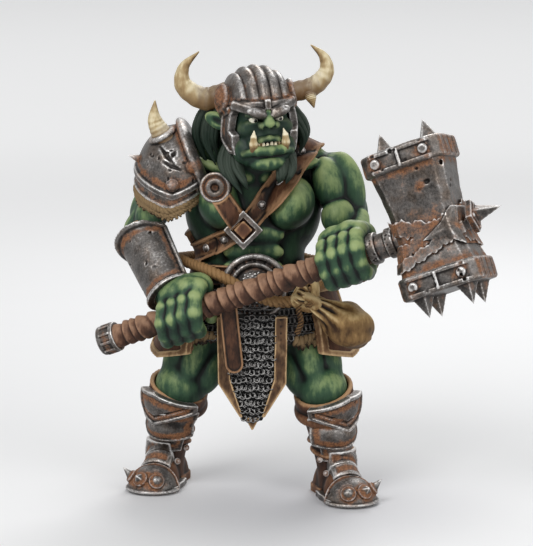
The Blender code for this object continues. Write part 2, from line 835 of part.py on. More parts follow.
def block_outline(height, grow, chamfer=1.4):
    """The corners of the block's eight-sided section at a height, grown outwards."""
    reach = BLOCK_TOP if height > 0 else BLOCK_BOTTOM
    width = BLOCK_WAIST + (1 - BLOCK_WAIST) * abs(height) / reach
    x, y = BLOCK_LENGTH / 2 * width + grow, BLOCK_DEPTH / 2 * width + grow
    corners = [(x - chamfer, -y), (x, chamfer - y), (x, y - chamfer), (x - chamfer, y)]
    corners += [(chamfer - x, y), (-x, y - chamfer), (-x, chamfer - y), (chamfer - x, -y)]
    return [Vector((a, b, height)) for a, b in corners]


def make_hammer_block():
    """The head's waisted block, socketed on the haft."""
    frame = block_frame()
    bm = bmesh.new()
    rings = []
    for height in (-BLOCK_BOTTOM, 0.0, BLOCK_TOP):
        rings.append([bm.verts.new(frame @ corner) for corner in block_outline(height, 0.0)])
    join_rings(bm, rings, closed=False)
    block = solid("hammer_block", bm, "steel")
    bore = HAFT_RADIUS + CLEARANCE
    depth = HAFT_LENGTH + CLEARANCE
    socket = [(0, 0), (0, bore), (depth, bore), (depth, 0)]
    cut(block, turned("socket", "steel", socket, along_haft(0), 16))
    return block


def make_band(name, foot, direction, lanes):
    """A capping band above or below the block, with a pair of spikes in each lane across its depth."""
    frame = block_frame()
    middle = foot + direction * (BAND_HEIGHT / 2 + CLEARANCE)
    size = (BAND_LENGTH, BAND_DEPTH, BAND_HEIGHT)
    band = box(name, "steel", size, frame @ Matrix.Translation((0, 0, middle)), bevel=0.8)
    cone = [(-0.6, 0), (-0.6, HAMMER_SPIKE_RADIUS), (HAMMER_SPIKE_LENGTH, 0)]
    for x in (-1, 1):
        for y in lanes:
            height = middle + direction * BAND_HEIGHT / 2
            root = Vector((x * BAND_LENGTH * 0.27, y * BAND_DEPTH * 0.28, height))
            place = frame @ Matrix.Translation(root) @ frame_along((0, 0, direction))
            join(band, turned("spike", "steel", cone, place, 4))
    return band


def make_mid_strap():
    """The torn iron strap wrapped round the block's waist, cut out where the haft enters."""
    frame = block_frame()
    per_side = 4
    columns = 8 * per_side

    def around(height, column, grow):
        corners = block_outline(height, grow)
        side, share = divmod(column % columns, per_side)
        return corners[side].lerp(corners[(side + 1) % 8], share / per_side)

    bm = bmesh.new()
    rings = []
    for grow, levels in ((CLEARANCE + STRAP_RAISE, (-1, 0, 1)), (CLEARANCE, (1, 0, -1))):
        for level in levels:
            points = []
            for column in range(columns):
                tear = 0.9 * math.sin(column * 2.4) + 0.5 * math.sin(column * 5.1)
                height = level * (STRAP_WIDTH / 2 + tear)
                points.append(frame @ around(height, column, grow))
            rings.append([bm.verts.new(point) for point in points])
    join_rings(bm, rings, closed=True)
    strap = solid("mid_strap", bm, "steel")
    bore = COLLAR_RADIUS + CLEARANCE
    start = GRIP_END + COLLAR_LENGTH - 3.0
    hole = [(start, 0), (start, bore), (start + 6.0, bore), (start + 6.0, 0)]
    return cut(strap, turned("hole", "steel", hole, along_haft(0), 16))


def make_end_spike():
    """The square spike on its plate at the end of the head."""
    end = BLOCK_LENGTH / 2 * BLOCK_WAIST + STRAP_RAISE + 4 * CLEARANCE
    frame = block_frame() @ Matrix.Translation((end, 0, 0))
    plate = [(0, 0), (0, 3.0), (1.0, 2.5), (1.2, 1.7), (1.0 + END_SPIKE_LENGTH, 0)]
    place = frame @ Matrix.Rotation(math.radians(90), 4, "Y")
    return turned("end_spike", "steel", plate, place, 4)


def make_hammer():
    pieces = make_haft()
    pieces.append(make_hammer_block())
    pieces.append(make_band("top_band", BLOCK_TOP, 1, (0,)))
    pieces.append(make_band("bottom_band", -BLOCK_BOTTOM, -1, (-1, 1)))
    pieces.append(make_mid_strap())
    pieces.append(make_end_spike())
    for piece in pieces:
        fitted(piece)


# Hands


def make_hand(side, grasp, wrist, back, slant):
    """A fist round the haft: four fingers bent round it, a palm, a thumb and a wrist stump.

    back is the angle round the haft, from the head's z towards the figure's back, at which the
    knuckles lie, and slant leans the fingers along the haft.
    """
    place = along_haft(grasp)
    reach = GRIP_RADIUS + GRIP_RIDGE + CLEARANCE + FINGER_RADIUS

    def around(angle, height, radius):
        a = math.radians(angle)
        return place @ Vector((-radius * math.cos(a), radius * math.sin(a), height))

    limbs = []
    for k in range(4):
        height = (1.5 - k) * FINGER_STEP
        bend = [around(back + turn, height + slant * turn / 90, reach) for turn in (15, -35, -85, -135, -180)]
        for start, end in zip(bend, bend[1:]):
            limbs.append((start, end, FINGER_RADIUS, FINGER_RADIUS * 0.95))
    knuckles = around(back + 20, 0, reach)
    palm = around(back + 75, 0, reach)
    pad = PALM_RADIUS * 0.75
    limbs.append((around(back + 55, 3.4, reach), around(back + 55, -3.4, reach), pad, pad))
    limbs.append((knuckles, wrist, PALM_RADIUS * 0.85, WRIST_RADIUS + 0.3))
    limbs.append((palm, wrist, PALM_RADIUS * 0.85, WRIST_RADIUS + 0.3))
    thumb = FINGER_RADIUS * 1.1
    limbs.append((around(back + 80, 4.2, reach), around(back + 170, 5.2, reach), thumb, FINGER_RADIUS))
    hand = flesh(side + "_hand", "skin", (), limbs, faces=480, grain=0.5)
    bore = GRIP_RADIUS + GRIP_RIDGE + CLEARANCE
    tunnel = [(-20, 0), (-20, bore), (20, bore), (20, 0)]
    cut(hand, turned("tunnel", "steel", tunnel, place, 16))
    return settle(hand, 520)


# Armour of the right arm


def make_bracer(name, elbow, wrist, colour, start, end):
    """A tapering cuff round the forearm with rolled edges."""
    along = wrist - elbow
    place = Matrix.Translation(elbow + along * start) @ frame_along(along)
    length = along.length * (end - start)
    edge = BRACER_WALL * 0.5
    outside = [(0, BRACER_TOP_RADIUS + edge), (0.9, BRACER_TOP_RADIUS + edge), (1.1, BRACER_TOP_RADIUS)]
    outside += [(length - 1.1, BRACER_END_RADIUS), (length - 0.9, BRACER_END_RADIUS + edge)]
    outside += [(length, BRACER_END_RADIUS + edge)]
    return settle(turned(name, colour, [(0, 0), *outside, (length, 0)], place, 20))


def pauldron_solid(name, centre, grow, tip):
    """A dome over the right shoulder, cut by the neck side and by a hem that runs down to a front point."""
    radii = PAULDRON_RADII + Vector((grow, grow, grow))
    dome = flesh(name, "steel", [(centre, radii)], faces=300)
    cut(dome, half_space(centre + Vector((6.2, 0, 0)), (1, 0, 0.35)))
    for lean in (-1, 1):
        cut(dome, half_space(centre + Vector((0, -radii.y, -tip)), (-lean * 0.42, 0.30, -1)))
    return dome


def make_pauldron():
    pauldron = pauldron_solid("pauldron", PAULDRON_CENTRE, 0.0, 3.8)
    flange = [(-0.7, 0), (-0.7, 10.6), (0.7, 10.6), (0.7, 0)]
    place = Matrix.Translation(PAULDRON_CENTRE + Vector((5.6, 0, 0.3))) @ frame_along((1, 0, 0.35))
    rim = turned("rim", "steel", flange, place, 28)
    cut(rim, half_space(PAULDRON_CENTRE + Vector((0, -PAULDRON_RADII.y, -3.8)), (0, 0.30, -1)))
    join(pauldron, rim)
    root = PAULDRON_CENTRE + Vector((-6.9, -2.0, 3.6))
    spike = [(-1.0, 0), (-1.0, 0.9), (2.6, 0)]
    place = Matrix.Translation(root) @ frame_along((-1, -0.25, 0.35))
    join(pauldron, turned("spike", "steel", spike, place, 8))
    settle(pauldron)
    lame = pauldron_solid("pauldron_lame", PAULDRON_CENTRE + Vector((-0.6, 0, -LAME_DROP)), -0.4, 4.0)
    settle(lame)
    fur = pauldron_solid("arm_fur", PAULDRON_CENTRE + Vector((-0.9, 0, -LAME_DROP - FUR_DROP)), -1.0, 4.0)
    fur.data.materials[0] = paint("fur")
    settle(fur)
    return pauldron


def make_pauldron_horn():
    foot = PAULDRON_CENTRE + Vector((-2.6, -4.4, 7.6))
    path = [foot, foot + Vector((-1.6, -0.5, 2.6)), foot + Vector((-2.6, -0.6, 5.2))]
    path.append(foot + Vector((-2.6, -0.5, PAULDRON_HORN_LENGTH)))
    size = PAULDRON_HORN_RADIUS
    spike = horn("pauldron_horn", "bone", path, (size * 1.1, size * 0.95, size * 0.7, 0.15))
    return settle(spike)


# Straps and belt gear


def draped(name, colour, bodies, centre, normal, width, wall, rows=36, columns=4):
    """A strap laid round some bodies: rays run in to its centre line and stop on the outermost skin."""
    trees = [tree_of(body) for body in bodies]
    turn = frame_along(normal)
    reach = 60.0

    def surface(u, v):
        angle = math.tau * v
        way = turn @ Vector((math.cos(angle), math.sin(angle), 0))
        origin = Vector(centre) + turn @ Vector((0, 0, (u - 0.5) * width))
        hits = [tree.ray_cast((origin + way * reach) * MM, -way) for tree in trees]
        point, face, _, _ = min((hit for hit in hits if hit[0] is not None), key=lambda hit: hit[3])
        out = (face.normalized() + way).normalized()
        return point / MM + out * (wall + CLEARANCE), out

    return shell(name, colour, surface, columns, rows, wall, wrap=True)


def make_chest_gear(torso):
    """The studded baldric, the short strap from the pauldron, their square buckle and the round boss."""
    chest = (RIGHT_SHOULDER + LEFT_SHOULDER) / 2 + Vector((0.4, 0.0, -7.0))
    across = (-0.80, 0.10, 0.62)
    baldric = draped("baldric", "leather", [torso], chest, across, BALDRIC_WIDTH, LEATHER, rows=40)
    settle(baldric)
    settle(make_chest_strap(tree_of(torso)))
    skin = tree_of(torso)
    settle(make_strap_buckle(skin))
    settle(make_medallion(skin))


def on_skin(tree, x, z, lift):
    """The point lift in front of the body at x, z, and the way out of the body there."""
    start = Vector((x, -60.0, z))
    hit, face, _, _ = tree.ray_cast(start * MM, Vector((0, 1, 0)))
    out = face.normalized()
    return hit / MM + out * lift, out


def make_chest_strap(skin):
    """The short strap that runs from the round boss down to the buckle."""
    top, foot = Vector((-8.6, 0, 63.6)), Vector((-2.3, 0, 54.1))
    across = (foot - top).cross(Vector((0, 1, 0))).normalized()

    def surface(u, v):
        place = top.lerp(foot, v) + across * (u - 0.5) * CHEST_STRAP_WIDTH
        return on_skin(skin, place.x, place.z, LEATHER + CLEARANCE)

    return shell("chest_strap", "leather", surface, 3, 8, LEATHER)


def make_strap_buckle(skin):
    """A square frame standing on its corner, with a leather tongue plate filling it."""
    point, out = on_skin(skin, -2.3, 54.1, 0.0)
    point.y -= 2 * LEATHER + 2 * CLEARANCE
    out = (out + Vector((0, -1.5, 0))).normalized()
    corner_up = Matrix.Rotation(math.radians(45), 4, "Z")
    place = Matrix.Translation(point + out * 0.6) @ frame_along(out) @ corner_up
    frame = box("strap_buckle", "steel", (BUCKLE_SIDE, BUCKLE_SIDE, 1.4), place, bevel=0.25)
    inside = BUCKLE_SIDE - 2 * BUCKLE_BAR
    shallow = place @ Matrix.Translation((0, 0, 0.9))
    cut(frame, box("inside", "leather", (inside, inside, 1.2), shallow))
    return frame


def make_medallion(skin):
    point, out = on_skin(skin, -8.0, 63.0, 0.0)
    point.y -= LEATHER + 2 * CLEARANCE + MEDALLION_LIFT
    out = (out + Vector((0.0, -1.0, 0.2))).normalized()
    rim = MEDALLION_RADIUS
    place = Matrix.Translation(point) @ frame_along(out)
    thick = MEDALLION_THICK
    profile = [(-1.0, 0), (-1.0, rim * 0.92), (0.2, rim), (thick, rim), (thick, rim * 0.84)]
    profile += [(0.7, rim * 0.80), (0.9, rim * 0.62), (thick, rim * 0.5), (0.9, rim * 0.30), (0.4, 0)]
    return turned("chest_medallion", "steel", profile, place, 20)


def make_belt_gear(torso, pelvis):
    """Belt, round buckle, rope, apron and tongue at the front, flaps at the sides and back, and the pouch."""
    waist = Vector((0.2, -0.4, BELT_HEIGHT))
    around = (0.0, 0.10, 1.0)
    belt = draped("belt", "leather", [torso, pelvis], waist, around, BELT_WIDTH, LEATHER, rows=36, columns=2)
    settle(belt)
    front = buckle_seat(tree_of(torso), BELT_HEIGHT - BUCKLE_DROP)
    settle(make_belt_buckle(Vector((0.0, front, BELT_HEIGHT - BUCKLE_DROP))))
    settle(make_rope(front - BELT_BUCKLE_THICK))
    settle(make_skirt(), 640)
    settle(make_apron())
    settle(make_apron_border())
    settle(make_tongue())
    for side, sign in (("right", -1), ("left", 1)):
        settle(make_flap(side + "_tasset", sign * 72, 7.6, TASSET_LENGTH, 1.0 + SKIRT_TUFT))
    settle(make_flap("back_flap", 180, 11.0, TASSET_LENGTH * 1.15, 0.4 + SKIRT_TUFT))
    settle(make_pouch())


def buckle_seat(skin, height):
    """How far forward the buckle's back plate has to be to clear the belly and the belt."""
    reach = BELT_BUCKLE_RADIUS * 0.9
    places = [(reach * math.sin(a), reach * math.cos(a)) for a in (0, 0.8, 1.57, -0.8, -1.57)]
    fronts = [on_skin(skin, x, height + z, 0.0)[0].y for x, z in places]
    return min(fronts) - LEATHER - 2 * CLEARANCE - BUCKLE_BACK


def make_belt_buckle(centre):
    """A round plate with two raised rings and a domed boss."""
    rim, thick = BELT_BUCKLE_RADIUS, BELT_BUCKLE_THICK
    place = Matrix.Translation(centre) @ frame_along((0, -1, 0.04))
    profile = [(-BUCKLE_BACK, 0), (-BUCKLE_BACK, rim), (thick, rim), (thick, rim * 0.86)]
    profile.append((thick * 0.4, rim * 0.84))
    profile += [(thick * 0.4, rim * 0.74), (thick, rim * 0.72), (thick, rim * 0.62)]
    profile.append((thick * 0.5, rim * 0.58))
    profile += [(thick * 1.1, rim * 0.40), (thick * 1.3, 0)]
    return turned("belt_buckle", "steel", profile, place, 28)


def make_rope(front):
    """The rope tied round the waist, sagging over the buckle to a knot on the figure's left hip."""
    y = front - ROPE_RADIUS - 2 * CLEARANCE
    half = WAIST_WIDTH / 2 + LEATHER + ROPE_RADIUS + 3 * CLEARANCE
    deep = WAIST_DEPTH / 2 + LEATHER + ROPE_RADIUS + 3 * CLEARANCE
    loop = [(-half * 0.55, -deep * 0.98, 1.0), (-4.0, y, -1.8), (0.0, y - 0.2, -3.4), (4.5, y, -3.4)]
    loop += [rope_knot(), (half + 0.6, -2.5, 0.0), (half, 4.0, 1.0), (half * 0.6, deep, 1.6)]
    loop += [(0, deep + 0.8, 2.0), (-half * 0.6, deep, 2.0), (-half, 4.0, 2.2), (-half - 0.2, -2.5, 2.0)]
    at_belt = [Vector(point) + Vector((0, 0, BELT_HEIGHT)) for point in loop]
    return closed_tube("rope_belt", "rope", at_belt, ROPE_RADIUS, 60, 8)


def rope_knot():
    """Where the rope is tied, on the figure's left hip, measured from the belt's height."""
    deep = WAIST_DEPTH / 2 + LEATHER + ROPE_RADIUS + 3 * CLEARANCE
    return (9.6, -deep * 1.05, -1.6)


def closed_tube(name, colour, loop, radius, count, sides):
    """A round cord along a smooth closed loop."""
    points = [Vector(p) for p in loop]
    size = len(points)
    path = []
    for k in range(count):
        t = k * size / count
        i, u = int(t), t - int(t)
        a, b, c, d = (points[(i + n) % size] for n in (-1, 0, 1, 2))
        path.append(
            0.5 * (2 * b + (c - a) * u + (2 * a - 5 * b + 4 * c - d) * u**2 + (3 * b - a - 3 * c + d) * u**3)
        )
    bm = bmesh.new()
    rings = []
    for k, point in enumerate(path):
        turn = frame_along(path[(k + 1) % count] - path[k - 1])
        angles = [math.tau * j / sides for j in range(sides)]
        rings.append(
            [
                bm.verts.new(point + turn @ Vector((radius * math.cos(a), radius * math.sin(a), 0)))
                for a in angles
            ]
        )
    join_rings(bm, rings, closed=True)
    return solid(name, bm, colour)


def thigh_reach(height):
    """How far out the thighs stand at a height below the hips."""
    reach = 0.0
    for hip, knee in ((RIGHT_HIP, RIGHT_KNEE), (LEFT_HIP, LEFT_KNEE)):
        share = (hip.z - height) / (hip.z - knee.z)
        if share > 0:
            reach = max(reach, abs(hip.lerp(knee, share).x) + HIP_RADIUS)
    return reach


def hip_outline(angle, height):
    """A point on the flared outline of the hips, angle degrees round from the front towards the left."""
    a = math.radians(angle)
    share = (SKIRT_TOP - height) / (SKIRT_TOP - SKIRT_HEM)
    wide = max(HIP_WIDTH / 2 + 1.6 + 3.0 * share, thigh_reach(height) + MAIL + 3 * CLEARANCE)
    deep = HIP_DEPTH / 2 + 1.6 + 1.6 * share
    out = Vector((math.sin(a) / wide, -math.cos(a) / deep, 0)).normalized()
    return Vector((wide * math.sin(a), -deep * math.cos(a) - 0.6, height)), out


def make_skirt():
    """The mail skirt round the hips, in raised tufts from the waist to a ragged hem."""

    def surface(u, v):
        angle = 360.0 * v
        column, row = round(v * SKIRT_COLUMNS), round(u * SKIRT_ROWS)
        ragged = (0.7 * math.sin(math.radians(angle) * 9) - 0.6 * (column % 2)) * (1 - u)
        point, out = hip_outline(angle, SKIRT_HEM + (SKIRT_TOP - SKIRT_HEM) * u + ragged)
        at_front = math.cos(math.radians(angle)) > 0.75
        raised = (column + row) % 2 == 0 and row < SKIRT_ROWS and not at_front
        return point + out * (SKIRT_TUFT if raised else 0.0), out

    return shell("mail_skirt", "mail", surface, SKIRT_ROWS, SKIRT_COLUMNS, MAIL, wrap=True)


def apron_half_width(height):
    """Half the apron's width: straight above its shoulder, then drawn in to its tip."""
    if height > APRON_SHOULDER:
        return APRON_WIDTH / 2
    share = (height - APRON_TIP) / (APRON_SHOULDER - APRON_TIP)
    return 0.5 + (APRON_WIDTH / 2 - 0.5) * max(share, 0.0) ** 0.8


def make_apron():
    """The mail panel that hangs between the thighs."""

    low = APRON_TIP + 1.5 * BORDER_WIDTH

    def surface(u, v):
        height = low + (APRON_TOP - low) * u
        across = (2 * v - 1) * max(apron_half_width(height) - BORDER_WIDTH - CLEARANCE, 0.3)
        bow = 0.6 * math.cos(across / APRON_WIDTH * math.pi)
        return Vector((across - 0.5, APRON_Y - bow + 0.5 * (1 - u), height)), Vector((0.05 * across, -1, 0))

    return shell("mail_apron", "mail", surface, 8, 6, MAIL)


def make_apron_border():
    """The leather edging down both sides of the apron, meeting at its tip."""
    steps = 9
    outer, inner = [], []
    for k in range(steps + 1):
        height = APRON_TOP + (APRON_TIP - 0.6 - APRON_TOP) * k / steps
        outer.append((apron_half_width(max(height, APRON_TIP)) + 0.3, height))
        inner.append((max(apron_half_width(max(height, APRON_TIP)) - BORDER_WIDTH, 0.0), height))
    outline = [(-x, z) for x, z in outer] + [(x, z) for x, z in reversed(outer)]
    hollow = [(x, z) for x, z in inner if x > 0.2]
    outline += hollow + [(-x, z) for x, z in reversed(hollow)]
    bm = bmesh.new()
    wall = MAIL + 2 * LEATHER
    front = [bm.verts.new((x - 0.5, APRON_Y - 1.2, z)) for x, z in outline]
    back = [bm.verts.new((x - 0.5, APRON_Y - 1.2 + wall, z)) for x, z in outline]
    bm.faces.new(front)
    bm.faces.new(list(reversed(back)))
    skin_grid(bm, [[*front], [*back]], True)
    return solid("apron_border", bm, "leather")


def make_tongue():
    """The loose end of the belt, hanging beside the buckle with a round tip."""
    top = Vector((-5.1, APRON_Y - 2.6, BELT_HEIGHT - 5.0))
    half = TONGUE_WIDTH / 2
    outline = [(-half, 0), (half, 0)]
    for k in range(7):
        angle = math.pi * k / 6
        outline.append((half * math.cos(angle), -TONGUE_LENGTH + half - half * math.sin(angle)))
    bm = bmesh.new()
    lean = Matrix.Rotation(math.radians(-TONGUE_LEAN), 3, "Y")
    front = [bm.verts.new(top + lean @ Vector((x, 0, z))) for x, z in outline]
    back = [bm.verts.new(top + lean @ Vector((x, LEATHER, z))) for x, z in outline]
    bm.faces.new(front)
    bm.faces.new(list(reversed(back)))
    skin_grid(bm, [front, back], True)
    return solid("belt_tongue", bm, "leather")


def make_flap(name, angle, width, length, lift):
    """A stiff leather flap hanging outside the skirt."""
    spread = math.degrees(width / (HIP_WIDTH / 2))

    def surface(u, v):
        height = SKIRT_TOP + 1.0 - length * (1 - u) * (1.0 if abs(2 * v - 1) > 0.9 else 1.04)
        point, out = hip_outline(angle + spread * (v - 0.5) * (1.15 - 0.3 * u), height)
        return point + out * (LEATHER + CLEARANCE + lift), out

    return shell(name, "leather", surface, 4, 6, LEATHER)


def make_pouch():
    """A drawstring bag hanging from the rope's knot on the left hip."""
    neck = Vector(rope_knot()) + Vector((1.2, -1.7, BELT_HEIGHT - 1.8))
    side, out = hip_outline(54.0, BELT_HEIGHT - POUCH_LENGTH * 0.77)
    foot = side + out * (POUCH_RADIUS + 2 * LEATHER + 2 * CLEARANCE)
    hang = (foot - neck).normalized()
    lumps = [(foot, (POUCH_RADIUS * 0.92, POUCH_RADIUS * 0.92, POUCH_RADIUS * 1.1), frame_along(hang))]
    limbs = [(neck, foot, 1.3, POUCH_RADIUS * 0.8), (neck - hang * 1.6, neck, 1.9, 1.5)]
    return flesh("pouch", "tan_leather", lumps, limbs, faces=260, grain=0.6)


# Head


def head_frame():
    yaw = Matrix.Rotation(math.radians(HEAD_YAW), 4, "Z")
    nod = Matrix.Rotation(math.radians(HEAD_NOD), 4, "X")
    roll = Matrix.Rotation(math.radians(HEAD_ROLL), 4, "Y")
    return Matrix.Translation(HEAD_CENTRE) @ yaw @ nod @ roll


def make_face(torso):
    """The bare head: skull, brow, snub nose, heavy jaw and pointed ears, on a round neck peg."""
    frame = head_frame()
    turn = frame.to_3x3().to_4x4()
    jaw = JAW_WIDTH / 2
    places = [
        ((0, 0, 3.0), (SKULL_RADIUS, SKULL_RADIUS * 1.15, SKULL_RADIUS)),
        ((0, -3.6, -0.6), (SKULL_RADIUS * 0.86, 4.6, 5.6)),
        ((0, -4.2, -5.0), (jaw, 4.4, 3.4)),
        ((0, -7.6, -4.6), (jaw * 0.80, 1.7, 1.2)),
        ((0, -6.8, -6.8), (jaw * 0.5, 2.0, 1.7)),
        ((0, -8.4, 0.9), (1.7, 1.5, 1.4)),
        ((0, -6.8, 2.4), (1.3, 2.2, 2.2)),
    ]
    for side in (-1, 1):
        places.append(((side * 3.5, -6.0, 0.2), (1.8, 1.9, 1.5)))
        places.append(((side * 1.4, -7.7, 0.6), (1.1, 1.2, 1.0)))
    lumps = [(frame @ Vector(centre), radii, turn) for centre, radii in places]
    limbs = []
    for side in (-1, 1):
        root, tip = Vector((side * 5.6, 0.6, -1.0)), Vector((side * 8.4, 2.6, 1.8))
        limbs.append((frame @ root, frame @ tip, 1.3, 0.5))
    face = flesh("head", "skin", lumps, limbs, faces=800, grain=0.6)
    settle(face, 740)
    peg(face, torso, NECK + Vector((0, 0, 1.2)), (0, 0, -1))
    return face


def crest_point(dome, across, degrees):
    """A point on the helmet's dome, degrees up from the front, on the ridge that runs at across."""
    angle = math.radians(degrees)
    shrink = math.sqrt(1 - (across / dome[0]) ** 2)
    return Vector((across, -dome[1] * shrink * math.cos(angle), 3.0 + dome[2] * shrink * math.sin(angle)))


def make_helmet():
    """A ribbed skull cap with a heavy brow, cheek guards and two horn sockets."""
    frame = head_frame()
    turn = frame.to_3x3().to_4x4()
    wall = HELMET_WALL + CLEARANCE
    dome = (SKULL_RADIUS + wall, SKULL_RADIUS * 1.15 + wall, SKULL_RADIUS + wall + 0.4)
    lumps = [(frame @ Vector((0, 0, 3.0)), dome, turn)]
    limbs = []
    for across in (-3.2, 0.0, 3.2):
        ridge = [crest_point(dome, across, degrees) for degrees in range(30, 151, 20)]
        for start, end in zip(ridge, ridge[1:]):
            limbs.append((frame @ start, frame @ end, 0.75, 0.75))
    for side in (-1, 1):
        brow = [frame @ Vector((side * 5.4, -5.6, 4.9)), frame @ Vector((side * 0.8, -8.4, 3.9))]
        limbs.append((*brow, 1.1, 1.2))
        socket = [frame @ Vector((side * 5.2, -0.6, 4.6)), frame @ Vector((side * 7.2, -0.4, 4.8))]
        limbs.append((*socket, 2.1, 2.2))
    helmet = flesh("helmet", "steel", lumps, limbs, faces=320, grain=0.6)
    cut(helmet, half_space(frame @ Vector((0, 0, 2.2)), turn.to_3x3() @ Vector((0, -0.16, -1))))
    guards = []
    for side in (-1, 1):

        def surface(u, v, side=side):
            height = 3.6 - 9.4 * (1 - u) * (0.72 + 0.28 * v)
            forward = -1.2 - 4.6 * v - 0.8 * (1 - u)
            across = side * (SKULL_RADIUS * 0.98 + wall - 0.10 * (forward + 1.2) ** 2 * 0.8 - 0.5 * (1 - u))
            out = turn.to_3x3() @ Vector((side, -0.25 - 0.5 * v, 0))
            return frame @ Vector((across, forward, height)), out

        guards.append(shell("guard", "steel", surface, 5, 4, HELMET_WALL))
    join(helmet, *guards)
    return settle(helmet, 660)


def make_horns():
    """The two helmet horns and the bound spur on the left one."""
    paths = {
        "right": [
            (-7.6, -6.8, 80.0),
            (-10.8, -7.4, 79.4),
            (-13.8, -7.8, 82.2),
            (-13.6, -8.0, 85.8),
            (-10.8, -8.2, 88.6),
        ],
        "left": [
            (8.6, -8.2, 81.0),
            (11.2, -8.4, 82.0),
            (13.7, -8.4, 84.6),
            (13.3, -8.2, 87.6),
            (10.9, -8.0, 89.8),
        ],
    }
    size = HORN_RADIUS
    for side, path in paths.items():
        settle(horn(side + "_horn", "bone", path, (size, size * 0.95, size * 0.82, size * 0.55, 0.15), 12))
    root = Vector(paths["left"][1]) + Vector((-0.2, -1.0, -HORN_RADIUS))
    path = [root + Vector((0, 0.6, 0.8)), root, root + Vector((0.5, -0.5, -2.4))]
    spur = horn("horn_spur", "bone", path, (1.2, 1.1, 0.15), 5, 10)
    settle(spur)


def make_tusks():
    """The two tusks, each in a socket of the lower jaw."""
    frame = head_frame()
    for side, sign in (("right", -1), ("left", 1)):
        foot = Vector((sign * 3.0, -8.4, -4.4))
        middle = foot + Vector((sign * 0.3, -0.5, TUSK_LENGTH * 0.5))
        tip = foot + Vector((sign * 0.1, 0.0, TUSK_LENGTH + 0.8))
        path = [frame @ p for p in (foot, middle, tip)]
        tusk = horn(side + "_tusk", "bone", path, (TUSK_RADIUS, TUSK_RADIUS * 0.9, 0.12), 6, 8)
        settle(tusk, 80)


def make_hair():
    """The mane behind the head and the beard locks under the jaw."""
    frame = head_frame()
    mane = [((-5.4, 2.5, 1.0), (-8.2, 5.0, -6.0), 2.4, 2.2)]
    mane.append(((-8.2, 5.0, -6.0), (-7.6, 6.0, -13.0), 2.2, 1.2))
    mane += [((0, 6.0, 0.5), (0, 9.0, -8.0), 3.0, 3.0), ((0, 9.0, -8.0), (0.4, 9.4, -17.0), 3.0, 1.4)]
    mane.append(((-3.6, 5.0, 0.5), (-4.4, 8.0, -8.0), 2.6, 2.6))
    mane.append(((-4.4, 8.0, -8.0), (-4.4, 8.8, -15.0), 2.6, 1.3))
    mane += [((4.4, 4.0, 1.0), (5.4, 7.0, -7.0), 2.4, 2.4), ((5.4, 7.0, -7.0), (4.6, 8.0, -13.0), 2.4, 1.2)]
    limbs = [(frame @ Vector(a), frame @ Vector(b), r, s) for a, b, r, s in mane]
    settle(flesh("hair", "dark_hair", (), limbs, faces=420, grain=0.7))
    locks = [((-5.0, -1.6, -6.0), (-5.2, -4.6, -11.0), 1.7, 1.5)]
    locks.append(((-5.2, -4.6, -11.0), (-4.6, -7.0, -14.4), 1.5, 0.5))
    locks.append(((-3.4, -2.6, -8.0), (-3.4, -6.4, -11.6), 1.7, 1.3))
    locks.append(((-3.4, -6.4, -11.6), (-3.0, -7.8, -14.0), 1.3, 0.4))
    locks.append(((-5.0, -1.6, -6.0), (4.6, -2.6, -8.2), 1.6, 1.4))
    locks.append(((4.6, -2.6, -8.2), (4.8, -6.4, -11.6), 1.4, 0.4))
    limbs = [(frame @ Vector(a), frame @ Vector(b), r, s) for a, b, r, s in locks]
    settle(flesh("beard", "dark_hair", (), limbs, faces=320, grain=0.6))


def make_head(torso):
    make_face(torso)
    make_helmet()
    make_tusks()
    make_horns()
    make_hair()


# Assembly


def assemble():
    """Hangs every casting on one root, and stands the figure centred on the origin."""
    for room in rooms:
        discard(room)
    root = bpy.data.objects.new("figure", None)
    bpy.context.scene.collection.objects.link(root)
    corners = []
    bpy.context.view_layer.update()
    for piece in castings:
        piece.parent = root
        piece.data.shade_smooth()
        piece.data.set_sharp_from_angle(angle=math.radians(40))
        corners += [Vector(corner) for corner in piece.bound_box]
    low = [min(corner[axis] for corner in corners) for axis in range(3)]
    high = [max(corner[axis] for corner in corners) for axis in range(3)]
    root.location = (-(low[0] + high[0]) / 2, -(low[1] + high[1]) / 2, -low[2])
    bpy.context.view_layer.update()
    print("figure shift", [round(value, 5) for value in root.location])


def main():
    for obj in list(bpy.data.objects):
        bpy.data.objects.remove(obj)
    torso = make_torso()
    pelvis = make_pelvis()
    make_thigh("right_thigh", RIGHT_HIP, RIGHT_KNEE, pelvis)
    make_thigh("left_thigh", LEFT_HIP, LEFT_KNEE, pelvis)
    for side, knee, ankle, toe_out in (
        ("right", RIGHT_KNEE, RIGHT_ANKLE, -RIGHT_TOE_OUT),
        ("left", LEFT_KNEE, LEFT_ANKLE, LEFT_TOE_OUT),
    ):
        skin = make_boot(side + "_boot", knee, ankle, toe_out)
        make_boot_armour(side, skin, knee, ankle, toe_out)
    make_arm("right", RIGHT_SHOULDER, RIGHT_ELBOW, RIGHT_WRIST, torso)
    make_arm("left", LEFT_SHOULDER, LEFT_ELBOW, LEFT_WRIST, torso)
    make_hammer()
    make_hand("right", RIGHT_GRASP, RIGHT_WRIST, 40, 2.0)
    make_hand("left", LEFT_GRASP, LEFT_WRIST, 40, 0.6)
    make_bracer("right_bracer", RIGHT_ELBOW, RIGHT_WRIST, "steel", 0.14, 0.98)
    make_bracer("left_bracer", LEFT_ELBOW, LEFT_WRIST, "leather", 0.30, 0.92)
    make_pauldron()
    make_pauldron_horn()
    make_chest_gear(torso)
    make_belt_gear(torso, pelvis)
    make_head(torso)
    assemble()


main()
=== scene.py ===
"""Looks of the painted miniature: a horned, tusked brute with a two-handed hammer.

Every visible piece is sculpted as a distance field in millimetres, in the figure's own frame (+X its
left, -Y its front, +Z up), skinned, and painted with materials that read the relief of the skin.
"""

import functools
import math

